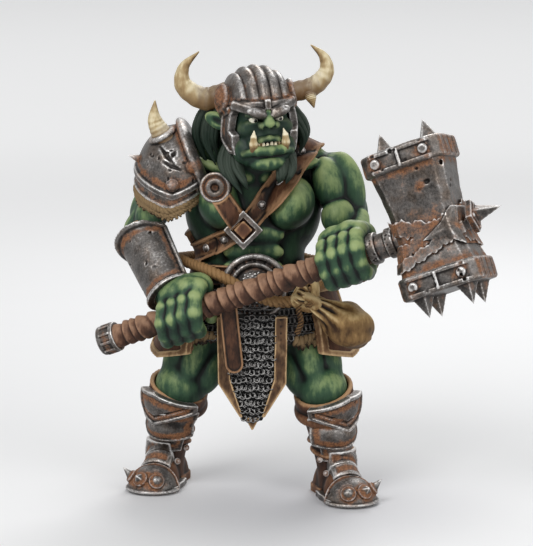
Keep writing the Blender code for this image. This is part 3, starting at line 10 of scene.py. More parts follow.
import bpy
import numpy as np
from mathutils import Matrix, Vector


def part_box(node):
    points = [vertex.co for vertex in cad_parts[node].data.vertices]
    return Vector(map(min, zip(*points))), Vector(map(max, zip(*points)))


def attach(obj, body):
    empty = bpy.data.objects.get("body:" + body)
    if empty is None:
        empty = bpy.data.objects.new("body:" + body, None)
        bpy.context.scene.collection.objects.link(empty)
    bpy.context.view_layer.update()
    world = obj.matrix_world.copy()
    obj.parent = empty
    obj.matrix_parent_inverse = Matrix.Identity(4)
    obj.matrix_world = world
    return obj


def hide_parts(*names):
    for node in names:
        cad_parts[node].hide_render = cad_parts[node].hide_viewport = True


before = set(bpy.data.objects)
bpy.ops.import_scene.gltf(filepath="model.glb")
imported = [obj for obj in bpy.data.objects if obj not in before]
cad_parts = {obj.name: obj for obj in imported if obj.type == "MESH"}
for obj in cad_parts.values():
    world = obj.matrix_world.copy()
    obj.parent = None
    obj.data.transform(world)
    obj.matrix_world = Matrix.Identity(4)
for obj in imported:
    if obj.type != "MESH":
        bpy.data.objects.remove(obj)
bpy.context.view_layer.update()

MM = 0.001
FIGURE_SHIFT = np.array((-7.51, 12.94, 0.0))
COARSE = 1.0
BODY = "root"

# Skeleton, as in the solids
RIGHT_ELBOW, RIGHT_WRIST = (-22.6, 0.5, 52.6), (-16.6, -10.6, 42.4)
LEFT_ELBOW, LEFT_WRIST = (19.2, -2.6, 49.0), (18.0, -17.6, 50.2)
HEAD_CENTRE, HEAD_YAW, HEAD_NOD, HEAD_ROLL = (0.4, -8.6, 75.2), 16.0, 4.0, -3.5
HAFT_FOOT, HAFT_YAW, HAFT_RISE, HAMMER_ROLL = (-29.9, -8.5, 31.8), -18.0, 20.7, -8.0
PAULDRON_CENTRE = np.array((-15.4, 0.0, 63.6))
GRIP_END = 58.0
HEAD_MIDDLE = GRIP_END + 13.0
FOOT_LENGTH = 17.2
RIGHT_HIP, LEFT_HIP = (-8.2, 0, 36), (8.2, -0.5, 36)
RIGHT_KNEE, LEFT_KNEE = (-15.0, -1.8, 19), (13.4, -5.4, 19)
RIGHT_ANKLE, LEFT_ANKLE = (-18.0, 5.2, 5.5), (16.0, -5.0, 5.5)
RIGHT_TOE_OUT, LEFT_TOE_OUT = -18.0, 21.0
WAIST = 44.0
STRAP_CROSSING = np.array((-2.3, 0.0, 54.0))
BOSS_SHIFT = np.array((0.4, -1.7, -0.9))

# Turns the sum of two sides into the distance to a corner cut at 45 degrees
DIAGONAL = 0.7071


# Distance fields


def unit(v):
    v = np.asarray(v, float)
    return v / np.linalg.norm(v)


def turn_to(direction, up=(0, 0, 1)):
    """A rotation matrix whose third column runs along direction."""
    z = unit(direction)
    x = np.cross(up, z)
    x = unit(x) if np.linalg.norm(x) > 1e-4 else np.array((1.0, 0, 0))
    return np.stack((x, np.cross(z, x), z), axis=1)


def local(P, centre, turn=None):
    """Coordinates of the points P seen from centre, in the columns of turn."""
    q = [P[k] - centre[k] for k in range(3)]
    if turn is None:
        return q
    return [sum(turn[i, k] * q[i] for i in range(3)) for k in range(3)]


def ellipsoid(centre, radii, turn=None):
    def distance(P):
        q = local(P, centre, turn)
        near = np.sqrt(sum((q[k] / radii[k]) ** 2 for k in range(3))) + 1e-6
        steep = np.sqrt(sum((q[k] / radii[k] ** 2) ** 2 for k in range(3))) + 1e-6
        return near * (near - 1) / steep

    return distance, np.asarray(centre, float), max(radii)


def cone(start, end, start_radius, end_radius):
    """A tapered rod with round ends."""
    a, b = np.asarray(start, float), np.asarray(end, float)
    ab = b - a
    length = max(float(ab @ ab), 1e-9)

    def distance(P):
        q = [P[k] - a[k] for k in range(3)]
        t = np.clip(sum(q[k] * ab[k] for k in range(3)) / length, 0, 1)
        away = np.sqrt(sum((q[k] - t * ab[k]) ** 2 for k in range(3)))
        return away - (start_radius + (end_radius - start_radius) * t)

    return distance, (a + b) / 2, math.sqrt(length) / 2 + max(start_radius, end_radius)


def box(centre, half, turn=None, rounding=0.2):
    def distance(P):
        q = [np.abs(v) - half[k] + rounding for k, v in enumerate(local(P, centre, turn))]
        outside = np.sqrt(sum(np.maximum(v, 0) ** 2 for v in q))
        return outside + np.minimum(overlap(q[0], q[1], q[2]), 0) - rounding

    return distance, np.asarray(centre, float), float(np.linalg.norm(half))


def ring(centre, axis, radius, thick, flat=1.0):
    turn = turn_to(axis)

    def distance(P):
        q = local(P, centre, turn)
        return np.sqrt((np.sqrt(q[0] ** 2 + q[1] ** 2) - radius) ** 2 + (q[2] / flat) ** 2) - thick

    return distance, np.asarray(centre, float), radius + thick * max(flat, 1.0)


def spike(foot, axis, radius, length, square=False, roll=0.0):
    """A cone, or a four-sided pyramid, standing on foot."""
    turn = turn_to(axis)
    c, s = math.cos(roll), math.sin(roll)
    slope = radius / length
    lean = math.sqrt(1 + slope * slope)

    def distance(P):
        x, y, z = local(P, foot, turn)
        x, y = c * x + s * y, c * y - s * x
        away = np.maximum(np.abs(x), np.abs(y)) if square else np.sqrt(x * x + y * y)
        return np.maximum((away - slope * (length - z)) / lean, -0.8 - z)

    return distance, np.asarray(foot, float), length + radius + 1.0


class Clay:
    """A block of clay: a grid of distances that shapes are added to and cut from."""

    def __init__(self, low, high, grain):
        self.grain = grain * COARSE
        self.low = np.asarray(low, float)
        self.count = np.ceil((np.asarray(high, float) - self.low) / self.grain).astype(int) + 1
        self.field = np.full(self.count, 9.0, np.float32)

    def set(self, field):
        self.field = np.array(field, np.float32)

    def axes(self, first, last):
        grids = []
        for k in range(3):
            shape = [1, 1, 1]
            shape[k] = -1
            values = self.low[k] + self.grain * np.arange(first[k], last[k])
            grids.append(values.astype(np.float32).reshape(shape))
        return grids

    def window(self, shape, margin):
        _, centre, reach = shape
        first = np.floor((centre - reach - margin - self.low) / self.grain).astype(int)
        last = np.ceil((centre + reach + margin - self.low) / self.grain).astype(int) + 1
        return np.clip(first, 0, self.count), np.clip(last, 0, self.count)

    def blend(self, shape, k, sign):
        first, last = self.window(shape, abs(k) + 2 * self.grain + 1.0)
        if (last <= first).any():
            return
        part = tuple(slice(a, b) for a, b in zip(first, last))
        old = self.field[part] * sign
        new = shape[0](self.axes(first, last)).astype(np.float32)
        mix = np.maximum(k - np.abs(old - new), 0) / max(k, 1e-6)
        self.field[part] = (np.minimum(old, new) - mix * mix * k / 4) * sign

    def add(self, *shapes, k=0.6):
        for shape in shapes:
            self.blend(shape, k, 1)
        return self

    def cut(self, *shapes, k=0.3):
        for shape in shapes:
            self.blend(shape, k, -1)
        return self

    def chain(self, points, radii, k=0.4, cut=False):
        """A bent rod through the points."""
        shapes = [cone(a, b, r, s) for a, b, r, s in zip(points, points[1:], radii, radii[1:])]
        return self.cut(*shapes, k=k) if cut else self.add(*shapes, k=k)

    def everywhere(self):
        return self.axes((0, 0, 0), self.count)

    def sample(self, P):
        """Distances at other points, read between the grid's own."""
        P = np.broadcast_arrays(*P)
        at = [np.clip((P[k] - self.low[k]) / self.grain, 0, self.count[k] - 1.001) for k in range(3)]
        base = [a.astype(np.int32) for a in at]
        part = [(a - b).astype(np.float32) for a, b in zip(at, base)]
        total = np.zeros(P[0].shape, np.float32)
        for corner in range(8):
            step = [(corner >> k) & 1 for k in range(3)]
            weight = 1.0
            for k in range(3):
                weight = weight * (part[k] if step[k] else 1 - part[k])
            total += weight * self.field[tuple(base[k] + step[k] for k in range(3))]
        return total

    def skin(self):
        """The surface where the distance is nought, as points and four-cornered faces."""
        f = self.field
        inside = f < 0
        for k in range(3):
            edge = [slice(None)] * 3
            for side in (0, -1):
                edge[k] = side
                inside[tuple(edge)] = False
        f = np.where(inside, np.minimum(f, -1e-5), np.maximum(f, 1e-5))
        steps = [(i, j, k) for i in (0, 1) for j in (0, 1) for k in (0, 1)]
        nx, ny, nz = (size - 1 for size in f.shape)
        corners = [inside[i : i + nx, j : j + ny, k : k + nz] for i, j, k in steps]
        mixed = np.logical_or.reduce(corners) & ~np.logical_and.reduce(corners)
        cells = np.argwhere(mixed)
        index = np.full(mixed.shape, -1, np.int32)
        index[mixed] = np.arange(len(cells))
        total = np.zeros((len(cells), 3))
        hits = np.zeros(len(cells))
        values = {step: f[tuple((cells + step).T)] for step in steps}
        for axis in range(3):
            for a in steps:
                if a[axis]:
                    continue
                b = tuple(1 if k == axis else a[k] for k in range(3))
                va, vb = values[a], values[b]
                crossed = (va < 0) != (vb < 0)
                t = np.where(crossed, va / np.where(crossed, va - vb, 1), 0)
                point = np.array(a, float)[None] + t[:, None] * (np.array(b) - np.array(a))[None]
                total += np.where(crossed[:, None], point, 0)
                hits += crossed
        points = self.low + self.grain * (cells + total / hits[:, None])
        faces = []
        for axis in range(3):
            u, v = [k for k in range(3) if k != axis]
            ahead = [slice(None)] * 3
            ahead[axis] = slice(1, None)
            back = [slice(None)] * 3
            back[axis] = slice(None, -1)
            change = inside[tuple(ahead)] != inside[tuple(back)]
            at = np.argwhere(change)
            at = at[(at[:, u] > 0) & (at[:, v] > 0)]
            filled = inside[tuple(at.T)]
            quad = []
            for du, dv in ((1, 1), (0, 1), (0, 0), (1, 0)):
                cell = at.copy()
                cell[:, u] -= du
                cell[:, v] -= dv
                quad.append(index[tuple(cell.T)])
            quad = np.stack(quad, axis=1)
            flip = filled == (axis == 1)
            quad[flip] = quad[flip][:, ::-1]
            faces.append(quad)
        return points, np.concatenate(faces)


def half_turn(angle):
    """An angle brought to between minus half a turn and half a turn."""
    return (angle + np.pi) % (2 * np.pi) - np.pi


def overlap(*fields):
    """The distance to what lies inside every one of the fields."""
    return functools.reduce(np.maximum, fields)


def layer(base, low, high, grain, region, thick, rim=0.0, rim_width=0.5, deep=0.8):
    """A sheet laid on a base field, inside a region and thicker at the region's border."""
    clay = Clay(low, high, grain)
    P = clay.everywhere()
    under = base.sample(P) if isinstance(base, Clay) else base(P)
    border = np.broadcast_to(region(P), under.shape)
    raised = thick + rim * np.clip((border + rim_width) / 0.15, 0, 1)
    clay.set(overlap(under - raised, border, -under - deep))
    return clay


def soft(value, reach):
    """1 where the value is nought, falling to 0 over the reach on either side."""
    return np.exp(-((value / reach) ** 2))


# Pieces


def smoothed(points, pairs, rounds):
    """Points drawn towards their neighbours again and again."""
    count = len(points)
    degree = np.bincount(pairs.ravel(), minlength=count)[:, None]
    eased = points.copy()
    for _ in range(rounds):
        total = np.zeros_like(eased)
        for k in range(3):
            total[:, k] = np.bincount(pairs[:, 0], eased[pairs[:, 1], k], count)
            total[:, k] += np.bincount(pairs[:, 1], eased[pairs[:, 0], k], count)
        eased = 0.4 * eased + 0.6 * total / np.maximum(degree, 1)
    return eased


def piece(name, points, faces, material, replaces=(), relief=8, ease=1, caps=False, **values):
    """A named mesh in the figure's frame, with its relief and other values kept on its points."""
    faces = np.asarray(faces)
    points = np.asarray(points, float)
    mesh = bpy.data.meshes.new(name)
    pairs = np.concatenate([faces[:, [k, (k + 1) % faces.shape[1]]] for k in range(faces.shape[1])])
    pairs = np.unique(np.sort(pairs, axis=1), axis=0)
    pairs = pairs[pairs[:, 0] != pairs[:, 1]]
    if ease:
        points = smoothed(points, pairs, ease)
    corners = [list(dict.fromkeys(face)) for face in faces.tolist()] if caps else faces.tolist()
    mesh.from_pydata(((points + FIGURE_SHIFT) * MM).tolist(), [], corners)
    mesh.update()
    normals = np.empty(len(points) * 3, np.float32)
    mesh.vertices.foreach_get("normal", normals)
    normals = normals.reshape(-1, 3)
    edge = np.linalg.norm(points[pairs[:, 0]] - points[pairs[:, 1]], axis=1).mean()
    fine = ((smoothed(points, pairs, relief) - points) * normals).sum(1) / edge
    wide = ((smoothed(points, pairs, relief * 6) - points) * normals).sum(1) / (edge * 2.4)
    values = {"fine": fine, "wide": wide, **values}
    for key, value in values.items():
        store = mesh.attributes.new(key, "FLOAT", "POINT")
        store.data.foreach_set("value", np.ascontiguousarray(np.broadcast_to(value, len(points)), np.float32))
    mesh.polygons.foreach_set("use_smooth", np.full(len(faces), True))
    obj = bpy.data.objects.new(name, mesh)
    obj.data.materials.append(material)
    bpy.context.scene.collection.objects.link(obj)
    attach(obj, BODY)
    if replaces:
        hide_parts(*replaces)
    return obj


def cast(name, clay, material, replaces=(), place=None, **values):
    """The skinned clay as a piece, moved by place. A value given as a function is read at its points."""
    points, faces = clay.skin()
    found = {}
    for key, value in values.items():
        found[key] = value([points[:, k] for k in range(3)]) if callable(value) else value
    if place:
        points = points @ place[0].T + place[1]
    return piece(name, points, faces, material, replaces, **found)


def polygon(corners):
    """The signed distance to a flat outline, as a function of its two coordinates."""
    corners = np.asarray(corners, float)

    def distance(u, v):
        shape = np.broadcast(u, v).shape
        near = np.full(shape, 1e9)
        inside = np.zeros(shape, bool)
        for (au, av), (bu, bv) in zip(corners, np.roll(corners, -1, axis=0)):
            eu, ev = bu - au, bv - av
            t = np.clip(((u - au) * eu + (v - av) * ev) / (eu * eu + ev * ev), 0, 1)
            near = np.minimum(near, (u - au - t * eu) ** 2 + (v - av - t * ev) ** 2)
            if ev:
                inside ^= ((av > v) != (bv > v)) & (u < (v - av) / ev * eu + au)
        return np.where(inside, -1, 1) * np.sqrt(near)

    return distance


def curve_through(points, count):
    """Points on a smooth curve through the given ones."""
    points = np.asarray(points, float)
    ends = np.concatenate([[2 * points[0] - points[1]], points, [2 * points[-1] - points[-2]]])
    t = np.linspace(0, len(points) - 1, count)
    i = np.minimum(t.astype(int), len(points) - 2)
    u = (t - i)[:, None]
    a, b, c, d = (ends[i + k] for k in range(4))
    return 0.5 * (2 * b + (c - a) * u + (2 * a - 5 * b + 4 * c - d) * u**2 + (3 * b - a - 3 * c + d) * u**3)


def frames(path, closed):
    """Two ways across a path at each of its points, which turn as little as they can."""
    along = np.roll(path, -1, 0) - np.roll(path, 1, 0) if closed else np.gradient(path, axis=0)
    along = along / (np.linalg.norm(along, axis=1)[:, None] + 1e-9)
    side = np.empty_like(path)
    guess = np.array((0.31, 0.83, 0.46))
    for k in range(len(path)):
        guess = guess - along[k] * (guess @ along[k])
        guess = guess / np.linalg.norm(guess)
        side[k] = guess
    return side, np.cross(along, side)


def tube(path, radii, sides=10, closed=False):
    """The points, faces and lengthwise shares of a round tube along a path."""
    path = np.asarray(path, float)
    count = len(path)
    radii = np.interp(np.linspace(0, 1, count), np.linspace(0, 1, len(radii)), radii)
    side, other = frames(path, closed)
    angle = np.linspace(0, 2 * np.pi, sides, endpoint=False)
    ringed = side[:, None] * np.cos(angle)[None, :, None] + other[:, None] * np.sin(angle)[None, :, None]
    points = (path[:, None] + ringed * radii[:, None, None]).reshape(-1, 3)
    rows = count if closed else count - 1
    i, j = np.meshgrid(np.arange(rows), np.arange(sides), indexing="ij")
    n, m = (i + 1) % count, (j + 1) % sides
    faces = np.stack((i * sides + j, i * sides + m, n * sides + m, n * sides + j), -1).reshape(-1, 4)
    share = np.repeat(np.linspace(0, 1, count), sides)
    if not closed:
        points = np.concatenate([points, path[:1], path[-1:]])
        k, rim = np.arange(sides), (count - 1) * sides
        low, high = np.full(sides, len(points) - 2), np.full(sides, len(points) - 1)
        foot = np.stack((k, low, low, (k + 1) % sides), -1)
        head = np.stack((rim + (k + 1) % sides, high, high, rim + k), -1)
        faces = np.concatenate([faces, foot, head])
        share = np.concatenate([share, [0, 1]])
    return points, faces, share


def bundle(name, parts, material, replaces=(), **options):
    """Several tubes as one piece."""
    points, faces, start = [], [], 0
    for p, f, _ in parts:
        points.append(p)
        faces.append(np.asarray(f) + start)
        start += len(p)
    piece(name, np.concatenate(points), np.concatenate(faces), material, replaces, **options)


# Paint


class Nodes:
    """Builds one material's node tree with short calls."""

    def __init__(self, name, roughness, metallic=0.0, slot=None):
        self.material = bpy.data.materials.new(name)
        self.material["slot"] = slot or name
        self.material.use_nodes = True
        self.tree = self.material.node_tree
        self.shader = self.tree.nodes["Principled BSDF"]
        self.shader.inputs["Roughness"].default_value = roughness
        self.shader.inputs["Metallic"].default_value = metallic
        self.place = self.tree.nodes.new("ShaderNodeTexCoord").outputs["Object"]

    def put(self, socket, value):
        if hasattr(value, "is_output"):
            self.tree.links.new(value, socket)
        elif isinstance(value, tuple):
            short = len(value) == 3 and len(socket.default_value) == 4
            socket.default_value = (*value, 1.0) if short else value
        else:
            socket.default_value = value

    def value(self, name):
        node = self.tree.nodes.new("ShaderNodeAttribute")
        node.attribute_name = name
        return node.outputs["Fac"]

    def up(self):
        """How far the surface looks up, from 0 to 1."""
        node = self.tree.nodes.new("ShaderNodeNewGeometry")
        split = self.tree.nodes.new("ShaderNodeSeparateXYZ")
        self.tree.links.new(node.outputs["Normal"], split.inputs[0])
        return self.ramp(split.outputs["Z"], -0.7, 0.9)

    def ramp(self, value, low, high):
        node = self.tree.nodes.new("ShaderNodeMapRange")
        node.interpolation_type = "SMOOTHSTEP"
        self.put(node.inputs["Value"], value)
        node.inputs["From Min"].default_value = low
        node.inputs["From Max"].default_value = high
        return node.outputs["Result"]

    def math(self, operation, a, b):
        node = self.tree.nodes.new("ShaderNodeMath")
        node.operation = operation
        self.put(node.inputs[0], a)
        self.put(node.inputs[1], b)
        return node.outputs[0]

    def plus(self, value, other, share):
        """A value with a share of another added."""
        return self.math("ADD", value, self.math("MULTIPLY", other, share))

    def about(self, noise, middle=0.5):
        """Noise moved to lie about nought."""
        return self.math("SUBTRACT", noise, middle)

    def noise(self, size, detail=4.0, stretch=(1, 1, 1), rough=0.6):
        """Noise whose grains measure about size millimetres."""
        scale = self.tree.nodes.new("ShaderNodeMapping")
        scale.inputs["Scale"].default_value = tuple(1.0 / s for s in stretch)
        self.tree.links.new(self.place, scale.inputs["Vector"])
        node = self.tree.nodes.new("ShaderNodeTexNoise")
        node.inputs["Scale"].default_value = 1.0 / (size * MM)
        node.inputs["Detail"].default_value = detail
        node.inputs["Roughness"].default_value = rough
        self.tree.links.new(scale.outputs[0], node.inputs["Vector"])
        return node.outputs["Fac"]

    def mix(self, share, a, b, kind="MIX"):
        node = self.tree.nodes.new("ShaderNodeMix")
        node.data_type = "RGBA"
        node.blend_type = kind
        self.put(node.inputs[0], share)
        self.put(node.inputs[6], a)
        self.put(node.inputs[7], b)
        return node.outputs[2]

    def bump(self, height, strength):
        node = self.tree.nodes.new("ShaderNodeBump")
        node.inputs["Strength"].default_value = strength
        node.inputs["Distance"].default_value = 0.1 * MM
        self.put(node.inputs["Height"], height)
        self.tree.links.new(node.outputs[0], self.shader.inputs["Normal"])

    def finish(self, colour):
        self.put(self.shader.inputs["Base Color"], colour)
        return self.material


def painted(
    name, dark, middle, light, bright, roughness, stroke=(1, 1, 2.5), speckle=0.9, root=None, sky=0.55,
    crest=0.8, top=1.15
):
    """Matt paint in four tones, with light and shade painted in as a miniature painter lays them: a dark wash
    as painted shade in the hollows, painted highlights brushed on what stands out or looks up.
    """
    n = Nodes(name, roughness)
    n.shader.inputs["Specular IOR Level"].default_value = 0.25
    grain = n.noise(speckle, 5.0, stroke)
    broad = n.noise(3.4, 3.0)
    # Painted highlight: the tone rises on broad swells and on faces that look up (the sky share), as a
    # highlight laid from above.
    lift = n.plus(n.math("MULTIPLY", n.value("wide"), -0.75), n.up(), sky)
    lift = n.plus(lift, n.about(grain), 0.85)
    lift = n.plus(lift, n.about(broad), 0.5)
    colour = n.mix(n.ramp(lift, -0.05, 0.42), dark, middle)
    colour = n.mix(n.ramp(lift, 0.34, 0.72), colour, light)
    # Painted edge highlight: the brightest tone on sharp crests (the crest share).
    colour = n.mix(n.ramp(n.plus(lift, n.value("fine"), -crest), top - 0.53, top), colour, bright)
    # Paler where marked: worn leather, and a painted edge highlight along straps and edging.
    worn = n.plus(n.value("worn"), n.about(grain), 1.1)
    pale = tuple(0.5 * (a + b) for a, b in zip(light, bright))
    colour = n.mix(n.math("MULTIPLY", n.ramp(worn, 0.30, 1.0), 0.85), colour, pale)
    # Painted shade: the concave hollows go near-black, a wash that also paints the shade that falls there.
    hollow = n.ramp(n.plus(n.value("fine"), n.value("wide"), 0.5), 0.06, 0.45)
    colour = n.mix(hollow, colour, tuple(c * 0.16 for c in dark))
    # Darker where the root value is marked: a stain at the roots of horn and tooth, and painted shade on the
    # face.
    if root:
        root_stain_and_shade = n.plus(n.value("root"), n.about(grain), 0.9)
        colour = n.mix(n.math("MULTIPLY", n.ramp(root_stain_and_shade, 0.30, 1.0), 0.85), colour, root)
    n.bump(grain, 0.25)
    return n.finish(colour)


def steel_paint(name):
    """Dark steel: a black wash in the hollows that also paints their shade, stippled silver as a painted
    highlight on what stands out or looks up, rust where marked.
    """
    n = Nodes(name, 0.42, 0.75)
    stipple = n.noise(0.42, 6.0, rough=0.75)
    blotch = n.noise(2.2, 4.0)
    # Painted highlight: lighter on crests and on what looks up.
    lift = n.plus(n.math("MULTIPLY", n.value("fine"), -1.1), n.up(), 0.35)
    lift = n.plus(lift, n.about(stipple), 1.4)
    lift = n.plus(lift, n.about(blotch), 0.9)
    colour = n.mix(n.ramp(lift, -0.25, 0.55), (0.030, 0.027, 0.025), (0.165, 0.152, 0.143))
    colour = n.mix(n.ramp(lift, 0.35, 0.95), colour, (0.68, 0.67, 0.66))
    glaze = n.math("MULTIPLY", n.ramp(n.noise(3.2, 3.0), 0.42, 0.70), 0.65)
    colour = n.mix(glaze, colour, (0.72, 0.54, 0.40), "MULTIPLY")
    rusty = n.plus(n.value("rust"), n.about(blotch, 0.62), 2.2)
    rusty = n.plus(rusty, n.about(stipple), 0.7)
    share = n.ramp(rusty, 0.10, 0.85)
    tint = n.mix(n.ramp(stipple, 0.35, 0.65), (0.090, 0.032, 0.011), (0.30, 0.120, 0.040))
    colour = n.mix(n.math("MULTIPLY", share, 0.9), colour, tint)
    # Painted edge highlight: silver on sharp crests.
    crest = n.plus(n.math("MULTIPLY", n.value("fine"), -1.0), n.about(stipple), 0.5)
    edge = n.ramp(crest, 0.26, 0.6)
    colour = n.mix(n.math("MULTIPLY", edge, 0.70), colour, (0.66, 0.65, 0.64))
    # Painted shade: near-black in the hollows.
    colour = n.mix(n.ramp(n.value("fine"), 0.12, 0.5), colour, (0.012, 0.010, 0.009))
    n.put(n.shader.inputs["Metallic"], n.math("SUBTRACT", 0.75, n.math("MULTIPLY", share, 0.7)))
    n.put(n.shader.inputs["Roughness"], n.plus(0.40, share, 0.35))
    n.bump(stipple, 0.35)
    return n.finish(colour)


# The four tones of each paint run from the painted shade in the hollows to the painted highlight on crests
# and on what looks up.
SKIN = painted(
    "skin", (0.007, 0.021, 0.014), (0.028, 0.068, 0.036), (0.090, 0.160, 0.068), (0.27, 0.34, 0.145), 0.5,
    # SKIN's root colour is the painted shade on the face.
    (1, 1, 3.2), 1.3, root=(0.009, 0.024, 0.016), crest=0.4, top=1.0
)
HAIR = painted(
    "dark_hair", (0.004, 0.009, 0.006), (0.011, 0.024, 0.015), (0.011, 0.021, 0.015), (0.030, 0.043, 0.031),
    0.6
)
LEATHER = painted(
    "leather", (0.022, 0.009, 0.005), (0.095, 0.040, 0.020), (0.19, 0.090, 0.045), (0.42, 0.25, 0.13), 0.6,
    sky=0.38, crest=0.45
)
GRIP = painted(
    "leather", (0.010, 0.005, 0.003), (0.055, 0.024, 0.014), (0.135, 0.065, 0.038), (0.32, 0.185, 0.113),
    0.6
)
EDGING = painted(
    "leather", (0.030, 0.014, 0.007), (0.13, 0.068, 0.032), (0.27, 0.160, 0.078), (0.50, 0.34, 0.18), 0.6
)
TAN = painted(
    "tan_leather", (0.045, 0.020, 0.007), (0.21, 0.12, 0.045), (0.42, 0.27, 0.11), (0.66, 0.50, 0.26), 0.6
)
ROPE = painted(
    "rope", (0.008, 0.003, 0.002), (0.030, 0.014, 0.006), (0.085, 0.043, 0.017), (0.27, 0.155, 0.065), 0.7,
    (1, 1, 1), 0.4
)
FUR = painted(
    "fur", (0.006, 0.004, 0.002), (0.024, 0.013, 0.006), (0.060, 0.035, 0.016), (0.21, 0.140, 0.070), 0.8,
    (1, 1, 1), 0.4
)
BONE = painted(
    "bone", (0.075, 0.036, 0.012), (0.32, 0.22, 0.105), (0.56, 0.46, 0.27), (0.80, 0.72, 0.53), 0.45,
    (1, 1, 4), root=(0.10, 0.042, 0.014)
)
STEEL = steel_paint("steel")


def mail_paint(name, dark, light, metallic):
    """Blackened iron: oily dark, with a painted highlight of silver on what looks up, speckled like wear."""
    n = Nodes(name, 0.45, metallic, "mail")
    n.shader.inputs["Specular IOR Level"].default_value = 0.2
    speck = n.noise(0.5, 5.0)
    # Painted highlight from above, broken up by speckle.
    worn = n.plus(n.math("MULTIPLY", n.up(), 0.9), n.about(speck), 1.2)
    n.bump(speck, 0.2)
    return n.finish(n.mix(n.ramp(worn, 0.25, 0.95), dark, light))


MAIL = mail_paint("mail", (0.006, 0.006, 0.006), (0.022, 0.020, 0.018), 0.0)
RINGS = mail_paint("mail_rings", (0.010, 0.010, 0.010), (0.38, 0.37, 0.36), 0.7)


def eye_paint():
    """A pale eye with a dark pupil where marked."""
    n = Nodes("eye", 0.25, slot="bone")
    white = n.mix(n.noise(0.6), (0.62, 0.58, 0.44), (0.80, 0.77, 0.66))
    return n.finish(n.mix(n.value("pupil"), white, (0.006, 0.004, 0.003)))


EYE = eye_paint()


# Body


def sculpt_body():
    """Torso, neck, arms and thighs as one skin."""
    clay = Clay((-29, -21, 15), (27, 12.5, 73), 0.26)
    clay.add(
        ellipsoid((-0.2, 0.8, 57.2), (12.6, 8.4, 11.2)), ellipsoid((-0.6, 0.4, 47), (10.4, 7.9, 9.0)), k=3.0
    )
    clay.add(ellipsoid((-0.2, 0.2, 40.5), (11.0, 8.0, 6.5)), k=2.5)
    for s in (-1, 1):
        clay.add(ellipsoid((s * 9.7 - 0.4, 2.0, 57.2), (3.9, 5.5, 7.7)), k=1.6)
        clay.add(cone((s * 2.5, 0.2, 70), (s * 11.5, 1.4, 66.2), 3.6, 3.2), k=2.0)
        clay.add(ellipsoid((s * 6.2, 7.0, 60), (5.2, 2.8, 6.0)), k=1.0)
        clay.add(ellipsoid((s * 4.4, 6.6, 49), (3.6, 2.4, 8.0)), k=1.0)
    clay.add(cone((0.2, 0.2, 63.5), (0.9, -4.6, 71), 6.4, 5.0), k=2.0)
    clay.add(
        cone((-4.6, -3.5, 69.5), (-1.0, -6.8, 63.8), 1.2, 0.9),
        cone((5.6, -4.5, 69.5), (1.8, -6.8, 63.8), 1.2, 0.9), k=0.8
    )
    clay.add(
        cone((-1.6, -6.4, 64.0), (-11.5, -3.6, 66.8), 0.9, 1.1),
        cone((2.2, -6.4, 64.0), (11.5, -3.6, 66.6), 0.9, 1.1), k=0.8
    )
    for x, tilt in ((-7.0, -0.2), (7.6, 0.2)):
        turn = turn_to((tilt, 0, 1))
        clay.add(ellipsoid((x, -5.2, 58.9), (7.0, 4.2, 5.0), turn), k=1.0)
        clay.add(ellipsoid((x * 0.8, -6.4, 57.0), (5.4, 3.0, 3.0), turn), k=1.4)
    clay.cut(cone((0.3, -10.4, 62.5), (0.3, -10.2, 55.0), 0.55, 0.45), k=0.8)
    for s in (-1, 1):
        for z, y in ((52.6, -7.6), (49.3, -7.7), (46.0, -7.6)):
            clay.add(ellipsoid((-0.2 + s * 2.8, y + 0.5, z), (3.2, 0.9, 1.5)), k=1.2)
        for x, y, z in ((6.8, -6.4, 51.0), (8.2, -5.6, 47.6)):
            end = (s * (x + 2.6) - 0.5, y + 1.2, z + 2.6)
            clay.cut(cone((s * x - 0.5, y - 1.2, z), end, 0.5, 0.3), k=0.8)
        clay.add(ellipsoid((s * 9.2 - 0.3, -2.2, 43.5), (2.6, 4.2, 3.4)), k=0.8)
    clay.chain([(0.2, 9.2, 66), (0.2, 9.6, 56), (0.2, 8.6, 46)], (0.7, 0.8, 0.8), k=0.9, cut=True)
    sculpt_arms(clay)
    sculpt_thighs(clay)
    cast("body_skin", clay, SKIN, ("torso", "right_arm", "left_arm", "right_thigh", "left_thigh"), relief=10)
    return clay


def sculpt_arms(clay):
    clay.add(ellipsoid((-17.6, 0.8, 62.6), (5.2, 5.8, 6.6)), k=1.0)
    along = np.subtract(RIGHT_ELBOW, (-17, 1, 63.5))
    clay.add(cone((-17.4, 1, 62), RIGHT_ELBOW, 4.0, 3.3), k=0.8)
    clay.add(ellipsoid((-20.3, -2.5, 57.0), (3.3, 3.0, 4.8), turn_to(along)), k=0.5)
    clay.add(ellipsoid((-21.4, 2.6, 57.6), (3.3, 3.1, 5.4), turn_to(along)), k=0.5)
    clay.chain([RIGHT_ELBOW, (-20.5, -3.6, 48.8), RIGHT_WRIST], (3.5, 3.9, 2.6), k=0.8)
    clay.add(ellipsoid((-22.4, -1.6, 52.4), (2.3, 3.0, 3.2)), k=0.5)
    clay.add(ellipsoid((15.6, 0.6, 62.4), (4.4, 5.0, 5.8)), k=0.9)
    for centre, radii in (
        ((14.6, -3.0, 62.2), (3.2, 3.1, 5.6)), ((18.2, -0.6, 61.6), (3.2, 3.6, 7.0)),
        ((17.0, 3.4, 61.8), (3.4, 3.2, 6.0))
    ):
        clay.add(ellipsoid(centre, radii, turn_to((0.25, -0.1, -1))), k=0.45)
    clay.add(cone((17.4, 0, 60), LEFT_ELBOW, 4.0, 3.4), k=0.7)
    clay.add(ellipsoid((16.4, -4.9, 56.0), (3.4, 2.9, 3.7)), k=0.4)
    clay.add(ellipsoid((19.6, 0.8, 55.6), (3.0, 3.0, 5.4)), k=0.5)
    clay.add(cone((20.4, -2.8, 55.4), (20.0, -8.6, 51.2), 2.3, 3.0), k=0.5)
    clay.chain([LEFT_ELBOW, (18.8, -10.0, 50.2), LEFT_WRIST], (3.7, 3.9, 2.8), k=0.7)


